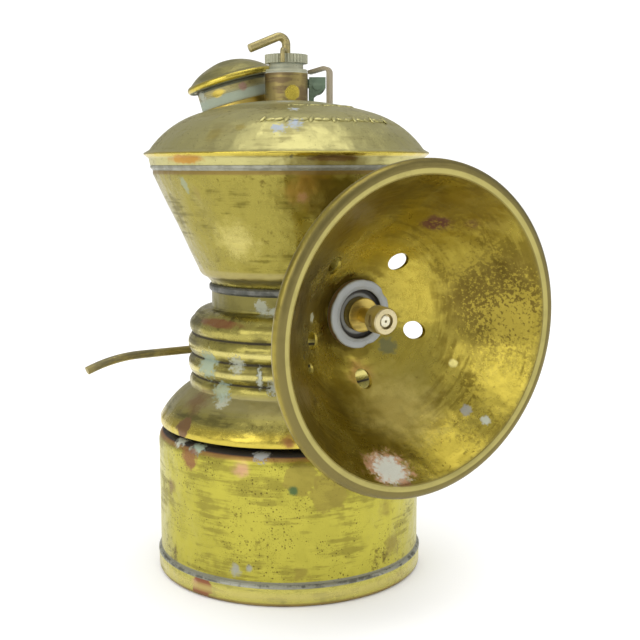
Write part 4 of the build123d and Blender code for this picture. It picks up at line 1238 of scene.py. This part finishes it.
@dataclass
class WaterTank:
    """Tapered wall and domed top of the water tank."""

    throat_radius: float = 14.7
    foot_z: float = 55.7
    cone_foot_radius: float = 17.1
    cone_foot_z: float = 58.5
    radius: float = 25.4
    cone_top: float = 76.4
    seam_z: float = 78.0
    seam_width: float = 0.45
    lip_out: float = 1.6
    lip_z: float = 80.4
    dome_z: float = 80.85
    edge_radius: float = 16.8
    edge_bow: float = 0.93
    sheet: float = 0.7
    housing_radius: float = 4.05
    filler_radius: float = 7.0

    def build(self) -> None:
        """Builds and dresses the tank."""
        self._cone()
        self._dome()
        self._ornament()
        nodes = frame["nodes"]
        Finish.SOLDER.dress(nodes["tank_seam"])
        Finish.CONE.dress(nodes["tank_floor"])

    def _cone(self) -> None:
        """Tapered wall, with a few soft dents."""
        cone = Bench.lathe(
            "tank_wall",
            [
                (self.throat_radius, self.foot_z),
                (self.throat_radius + 1.608, self.foot_z + 1.596, -0.25),
                (self.cone_foot_radius, self.cone_foot_z, 0.12),
                (self.radius, self.cone_top),
                (self.radius, self.seam_z),
                (self.radius - self.sheet, self.seam_z),
                (self.radius - self.sheet, self.cone_top),
                (self.cone_foot_radius - self.sheet * 1.1, self.cone_foot_z),
                (self.throat_radius - self.sheet, self.foot_z + 0.8),
                (self.throat_radius - self.sheet, self.foot_z),
            ],
        )
        for azimuth, height, depth, reach in (
            (-165, 70.0, 0.35, 7.0),
            (-140, 66.0, 0.25, 5.0),
            (-112, 73.5, 0.2, 4.0),
            (-60, 68.0, 0.3, 6.0),
            (40, 70.0, 0.3, 7.0),
            (150, 66.0, 0.25, 6.0),
        ):
            radius = self.cone_foot_radius + (height - self.cone_foot_z) * 0.4637
            Bench.press(cone, around(radius, azimuth, height), -around(depth, azimuth, 0.0), reach)
        Finish.CONE.dress(cone)
        hand_over(cone, "upper", "tank_brass", "tank_cone")

    def _dome(self) -> None:
        """Domed top with a folded lip and holes for the valve and the filler."""
        start = (self.radius + 0.6, self.dome_z)
        turn = (self.edge_radius, crown_height(self.edge_radius))
        crown = self._crown_bow(CROWN_RADIUS, turn[0])
        inner_start = (start[0] - self.sheet * 0.8, start[1] - self.sheet * 0.6)
        inner_turn = (turn[0] - self.sheet * 0.3, turn[1] - self.sheet * 0.95)
        lip = self.radius + self.lip_out
        dome = Bench.lathe(
            "tank_top",
            [
                (self.radius + self.seam_width, self.seam_z),
                (self.radius + self.lip_out * 0.45, self.seam_z + 1.32),
                (lip, self.lip_z - 0.45),
                (lip - 0.18, self.lip_z, 0.12),
                start,
                (*turn, self.edge_bow),
                (0.0, DOME_TOP, crown),
                (0.0, DOME_TOP - self.sheet),
                (*inner_turn, -crown),
                (*inner_start, -self.edge_bow),
                (self.radius - self.sheet, self.seam_z + 1.2),
                (self.radius - self.sheet, self.seam_z),
            ],
            edge=0.12,
        )
        Bench.cut(dome, self.housing_radius, 8.0, Matrix.Translation((0.0, 0.0, DOME_TOP)))
        Bench.cut(dome, self.filler_radius, 10.0, FILLER)
        for azimuth, radius, depth, reach in (
            (-143, 21.0, 0.2, 2.2), (-60, 20.0, 0.2, 5.0), (80, 20.0, 0.25, 5.0)
        ):
            place = around(radius, azimuth, crown_height(radius))
            Bench.press(dome, place, Vector((0.0, 0.0, -depth)), reach)
        Finish.DOME.dress(dome)
        hand_over(dome, "upper", "dome_brass", "tank_dome")

    def _crown_bow(self, radius: float, reach: float) -> float:
        """Rise of the crown's arc over its chord, from the axis to a reach."""
        rise = radius - math.sqrt(radius**2 - reach**2)
        chord = math.hypot(reach, rise)
        return radius - math.sqrt(radius**2 - (chord / 2) ** 2)

    def _ornament(self) -> None:
        """Two worn rows of embossed beads and bars on the right of the dome."""
        rows = ((20.6, -132.0, -62.0, 19, 0.62), (12.6, -118.0, -48.0, 15, 0.5))
        for row, (radius, start, end, count, size) in enumerate(rows):
            marks = []
            for index in range(count):
                azimuth = start + (end - start) * index / (count - 1)
                marks.append(self._mark(radius, azimuth, size, index % 3))
            Bench.clear()
            for mark in marks:
                mark.select_set(True)
            bpy.context.view_layer.objects.active = marks[0]
            bpy.ops.object.join()
            band = bpy.context.object
            band.name = band.data.name = f"embossed_row_{row + 1}"
            bpy.ops.object.shade_smooth_by_angle(angle=math.radians(50))
            Finish.DOME.dress(band)
            hand_over(band, "upper", "dome_brass")

    def _mark(self, radius: float, azimuth: float, size: float, shape: int) -> bpy.types.Object:
        """One low bead or bar, sunk in the dome's skin."""
        height = self._dome_height(radius)
        slope = math.atan2(self._dome_height(radius - 0.5) - self._dome_height(radius + 0.5), 1.0)
        Bench.clear()
        bpy.ops.mesh.primitive_ico_sphere_add(subdivisions=2, radius=size * MM)
        mark = bpy.context.object
        stretch = (1.0, 1.7, 0.34) if shape else (1.9, 0.75, 0.34)
        outwards = Matrix.Translation((radius * MM, 0.0, height * MM))
        frame_to = Matrix.Rotation(math.radians(azimuth), 4, "Z") @ outwards
        frame_to = frame_to @ Matrix.Rotation(slope, 4, "Y")
        frame_to = frame_to @ Matrix.Rotation(0.35 * (shape - 1), 4, "Z")
        mark.matrix_world = frame_to @ Matrix.Diagonal((*stretch, 1.0))
        bpy.ops.object.transform_apply(location=True, rotation=True, scale=True)
        return mark

    def _dome_height(self, radius: float) -> float:
        """Height of the dome's skin at a radius, on the crown or the steeper edge."""
        if radius <= self.edge_radius:
            return crown_height(radius)
        outer, drop = self.radius + 0.6, crown_height(self.edge_radius) - self.dome_z
        share = (radius - self.edge_radius) / (outer - self.edge_radius)
        bulge = self.edge_bow * 1.23 * 4 * share * (1 - share)
        return crown_height(self.edge_radius) - drop * share + bulge


@dataclass
class WaterValve:
    """Housing, packing cap and bent-wire lever of the drip valve."""

    rod_radius: float = 0.8
    rod_bore: float = 0.85
    housing_radius: float = 4.05
    housing_foot: float = 88.1
    housing_top: float = 95.3
    cap_bore: float = 3.25
    bore_floor: float = 92.3
    rod_foot: float = 62.55
    rod_top: float = 100.4
    bend_radius: float = 1.4
    fold: float = 112.6
    reach: float = 7.4
    azimuth: float = 172.5

    def build(self) -> None:
        """Builds and dresses the valve."""
        housing = Bench.lathe(
            "housing_boss",
            [
                (self.rod_bore, self.housing_foot),
                (self.housing_radius, self.housing_foot),
                (self.housing_radius, self.housing_top - 0.25),
                (self.housing_radius - 0.25, self.housing_top, 0.07),
                (self.cap_bore, self.housing_top),
                (self.cap_bore, self.bore_floor),
                (self.rod_bore, self.bore_floor),
            ],
            steps=72,
            spacing=0.8,
            edge=0.08,
        )
        Finish.HOUSING.dress(housing)
        hand_over(housing, "upper", "fitting_brass", "valve_housing")
        self._lever()
        nodes = frame["nodes"]
        Finish.CAP.dress(nodes["packing_cap"], nodes["packing_washer"])
        Finish.FITTING.dress(nodes["water_tube"], nodes["valve_seat"], nodes["valve_needle"])
        Finish.YARN.dress(nodes["stem_packing"])
        Finish.WIRE.dress(nodes["click_finger"])

    def _lever(self) -> None:
        """Rod of wire bent over at the top into a lever."""
        turn = Matrix.Rotation(math.radians(self.azimuth), 4, "Z")
        corner = self.rod_top + self.bend_radius * math.tan(math.radians(self.fold / 2))
        end = corner - self.reach * math.tan(math.radians(self.fold - 90))
        route = [
            Vector((0.0, 0.0, self.rod_foot)),
            turn @ Vector((0.0, 0.0, corner)),
            turn @ Vector((self.reach, 0.0, end)),
        ]
        lever = Bench.wire("lever_wire", self.rod_radius, route, {1: self.bend_radius})
        Finish.WIRE.dress(lever)
        hand_over(lever, "lever", "wire", "water_lever")


@dataclass
class Filler:
    """Leaning neck, its flange, the domed lid, and the lid's hinge and spring."""

    neck_radius: float = 7.0
    sheet: float = 0.7
    tail: float = 1.6
    height: float = 5.1
    lid_radius: float = 8.7
    bead: float = 0.75
    seat_radius: float = 7.1
    lift: float = 5.85
    rise: float = 3.9
    lid_sheet: float = 0.6

    def build(self) -> None:
        """Builds and dresses the filler."""
        neck = Bench.lathe(
            "neck_tube",
            [
                (self.neck_radius - self.sheet, -self.tail),
                (self.neck_radius, -self.tail),
                (self.neck_radius, self.height),
                (self.neck_radius - self.sheet, self.height),
            ],
            frame_to=FILLER,
            steps=96,
            spacing=0.6,
        )
        Finish.NECK.dress(neck)
        hand_over(neck, "upper", "filler_brass", "filler_neck")
        self._lid()
        nodes = frame["nodes"]
        Finish.FLANGE.dress(nodes["filler_flange"])
        Finish.CORK.dress(nodes["lid_gasket"])
        Finish.GREEN.dress(nodes["hinge_bracket"], nodes["lid_arm"], nodes["hinge_pin"])
        Finish.SPRING.dress(nodes["lid_spring"])

    def _lid(self) -> None:
        """Domed lid with a rolled edge."""
        bead = self.lid_radius - self.bead
        top = self.lift + self.rise
        round_bow = self.bead * (1 - math.sqrt(0.5))
        inside = self.rise - self.lid_sheet - 0.1
        lid = Bench.lathe(
            "lid_cap",
            [
                (0.0, top - self.lid_sheet),
                (self.seat_radius, self.lift + 0.1, -self._cap_bow(self.seat_radius, inside)),
                (self.seat_radius, self.lift - self.bead * 0.4),
                (bead, self.lift - self.bead, 0.05),
                (self.lid_radius, self.lift, round_bow),
                (bead, self.lift + self.bead, round_bow),
                (0.0, top, self._cap_bow(bead, self.rise - self.bead)),
            ],
            frame_to=FILLER,
            steps=96,
            spacing=0.6,
            edge=0.06,
        )
        place = FILLER @ around(4.5, -150, top - 0.8)
        Bench.press(lid, place, Vector((0.0, 0.0, -0.15)), 3.0)
        Finish.LID.dress(lid)
        hand_over(lid, "lid", "lid_brass", "filler_lid")

    def _cap_bow(self, reach: float, rise: float) -> float:
        """Bow of the arc of a round cap that meets its axis square."""
        chord = math.hypot(reach, rise)
        radius = chord**2 / (2 * rise)
        return radius - math.sqrt(radius**2 - (chord / 2) ** 2)


@dataclass
class Burner:
    """Pipe, seat, nut and tip on the burner's axis."""

    hub_front: float = 23.66
    nut_radius: float = 6.1
    nut_height: float = 1.55
    recess_radius: float = 4.35
    recess_height: float = 0.95
    hole_radius: float = 2.95

    def build(self) -> None:
        """Builds and dresses the burner."""
        low, high = self.hub_front + 0.05, self.hub_front + self.nut_height
        nut = Bench.lathe(
            "reflector_ring_nut",
            [
                (self.hole_radius, low),
                (self.nut_radius, low),
                (self.nut_radius, high - 0.3),
                (self.nut_radius - 0.3, high, 0.08),
                (self.recess_radius, high),
                (self.recess_radius, high - self.recess_height),
                (self.hole_radius, high - self.recess_height),
            ],
            frame_to=BURNER,
            steps=96,
            spacing=0.4,
            edge=0.1,
        )
        for azimuth, radius, depth in (
            (35, 5.9, 0.25), (80, 5.6, 0.2), (150, 5.9, 0.22), (215, 5.7, 0.2), (290, 5.9, 0.2)
        ):
            place = BURNER @ around(radius, azimuth, high - 0.1)
            Bench.press(nut, place, -(BURNER.to_3x3() @ around(depth, azimuth, depth)), 1.3)
        Finish.NUT.dress(nut)
        hand_over(nut, "nut", "oxidised_nut", "reflector_nut")
        nodes = frame["nodes"]
        Finish.FITTING.dress(nodes["burner_pipe"], nodes["burner_socket"], nodes["tip_base"])
        Finish.TIP.dress(nodes["tip_cup"])
        Finish.DISH.dress(nodes["reflector_seat"])
        Finish.CERAMIC.dress(nodes["ceramic_tip"])


@dataclass
class Reflector:
    """Parabolic dish with a rolled bead, a flat hub and its drilled holes."""

    hub_radius: float = 6.3
    hub_front: float = 23.66
    radius: float = 25.4
    depth: float = 19.98
    sheet: float = 0.6
    bead: float = 1.25
    bead_out: float = 1.29
    bead_back: float = 0.88
    pipe_hole: float = 2.95
    hole_radius: float = 1.6
    hole_ring: float = 11.3
    hole_count: int = 5
    vent_radius: float = 0.95
    vent_ring: float = 15.0
    vent_angle: float = -150.0

    def build(self) -> None:
        """Builds and dresses the dish."""
        hub_back = self.hub_front - self.sheet
        edge = (self.radius, self.hub_front + self.depth)
        bead = (self.radius + self.bead_out, edge[1] - self.bead_back)
        turn = math.radians(14)
        back_edge = (bead[0] - self.bead * math.cos(turn), bead[1] - self.bead * math.sin(turn))
        outline = [
            (self.pipe_hole, hub_back),
            (self.pipe_hole, self.hub_front),
            (self.hub_radius, self.hub_front),
        ]
        outline += self._bowl((self.hub_radius, self.hub_front), edge)
        outline += self._rolled(bead, math.radians(90), math.radians(-166))
        outline += reversed(self._bowl((self.hub_radius + 0.15, hub_back), back_edge)[:-1])
        outline.append((self.hub_radius + 0.15, hub_back))
        dish = Bench.lathe(
            "reflector_dish", outline, frame_to=BURNER, steps=160, spacing=1.3, edge=0.0
        )
        for index in range(self.hole_count):
            self._drill(dish, self.hole_radius, self.hole_ring, -90 + index * 360 / self.hole_count)
        self._drill(dish, self.vent_radius, self.vent_ring, self.vent_angle)
        Finish.DISH.dress(dish)
        hand_over(dish, "reflector", "reflector_brass", "reflector")

    def _bowl(self, start: Point, end: Point) -> list[Point]:
        """Points along a parabola about the axis, after its start."""
        curve = (end[1] - start[1]) / (end[0] ** 2 - start[0] ** 2)
        points = []
        for step in range(1, 25):
            radius = start[0] + (end[0] - start[0]) * step / 24
            points.append((radius, start[1] + curve * (radius**2 - start[0] ** 2)))
        return points

    def _rolled(self, centre: Point, first: float, last: float) -> list[Point]:
        """Points round the rolled bead, from its front to where it meets the back."""
        points = []
        for step in range(15):
            turn = first + (last - first) * step / 14
            points.append(
                (centre[0] + self.bead * math.cos(turn), centre[1] + self.bead * math.sin(turn))
            )
        return points

    def _drill(self, dish: bpy.types.Object, radius: float, ring: float, angle: float) -> None:
        """Drills one hole through the dish along the burner's axis."""
        place = around(ring, angle, self.hub_front + self.depth / 3)
        Bench.cut(dish, radius, self.depth, BURNER @ Matrix.Translation(place))


@dataclass
class CapFittings:
    """Brace wire and hook at the back, which hold the lamp on a cap."""

    def build(self) -> None:
        """Dresses the wire, its saddle and the hook."""
        nodes = frame["nodes"]
        Finish.WIRE.dress(nodes["brace_wire"])
        Finish.SOLDER.dress(nodes["brace_saddle"])
        Finish.HOOK.dress(nodes["cap_hook"])


@dataclass
class Studio:
    """Floor, backdrop, lights and camera."""

    camera_at: Vector = Vector((-0.1060, -0.1799, 0.07845))
    looks_along: Vector = Vector((0.5276, 0.8371, -0.1442))
    roll: float = math.radians(-0.14)
    lens: float = 60.78
    sensor: float = 36.0

    def build(self) -> None:
        """Sets up everything round the lamp."""
        self._camera()
        self._floor()
        self._world()
        self._light("key_left", (-0.55, -0.20, 0.34), 0.45, 1.7)
        self._light("fill_right", (0.38, -0.42, 0.30), 0.30, 1.1)
        self._light("top", (0.02, -0.05, 0.65), 0.45, 1.7)

    def _camera(self) -> None:
        """Camera at the height of the tank's seam, to the left of the reflector."""
        data = bpy.data.cameras.new("camera")
        data.lens = self.lens
        data.sensor_width = self.sensor
        data.clip_start = 0.005
        camera = bpy.data.objects.new("camera", data)
        bpy.context.scene.collection.objects.link(camera)
        turn = self.looks_along.to_track_quat("-Z", "Y").to_matrix().to_4x4()
        level = Matrix.Translation(self.camera_at) @ turn
        camera.matrix_world = level @ Matrix.Rotation(self.roll, 4, "Z")
        bpy.context.scene.camera = camera

    def _floor(self) -> None:
        """Plain pale floor."""
        Bench.clear()
        bpy.ops.mesh.primitive_plane_add(size=6.0, location=(0.0, 0.0, 0.0))
        floor = bpy.context.object
        floor.name = "floor"
        material = bpy.data.materials.new("pale_floor")
        material.use_nodes = True
        shader = material.node_tree.nodes["Principled BSDF"]
        shader.inputs["Base Color"].default_value = (0.94, 0.94, 0.94, 1.0)
        shader.inputs["Roughness"].default_value = 0.9
        shader.inputs["Specular IOR Level"].default_value = 0.1
        floor.data.materials.append(material)

    def _world(self) -> None:
        """White surroundings, dimmer in what the brass mirrors."""
        world = bpy.data.worlds.new("studio")
        bpy.context.scene.world = world
        world.use_nodes = True
        graph = Graph(world.node_tree)
        background = world.node_tree.nodes["Background"]
        background.inputs["Color"].default_value = (1.0, 1.0, 1.0, 1.0)
        mirrored = graph.add("ShaderNodeLightPath").outputs["Is Glossy Ray"]
        strength = graph.between(mirrored, 1.15, 0.5)
        world.node_tree.links.new(strength, background.inputs["Strength"])
        bpy.context.scene.view_settings.view_transform = "Standard"

    def _light(self, name: str, place: Point, size: float, glow: float) -> None:
        """Square soft light turned towards the lamp, as bright as its glow times white."""
        data = bpy.data.lights.new(name, "AREA")
        data.size = size
        data.energy = glow * math.pi * size**2
        light = bpy.data.objects.new(name, data)
        bpy.context.scene.collection.objects.link(light)
        aim = Vector((0.0, 0.0, 0.05)) - Vector(place)
        turn = aim.to_track_quat("-Z", "Y").to_matrix().to_4x4()
        light.matrix_world = Matrix.Translation(place) @ turn


def main() -> None:
    """Builds the lamp and its studio."""
    logging.basicConfig(level=logging.INFO, format="%(name)s: %(message)s")
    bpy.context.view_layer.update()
    for assembly in (
        CarbideChamber(),
        RibbedCollar(),
        WaterTank(),
        WaterValve(),
        Filler(),
        Burner(),
        Reflector(),
        CapFittings(),
        Studio(),
    ):
        LOG.info("building %s", type(assembly).__name__)
        assembly.build()


if __name__ == "__main__":
    main()
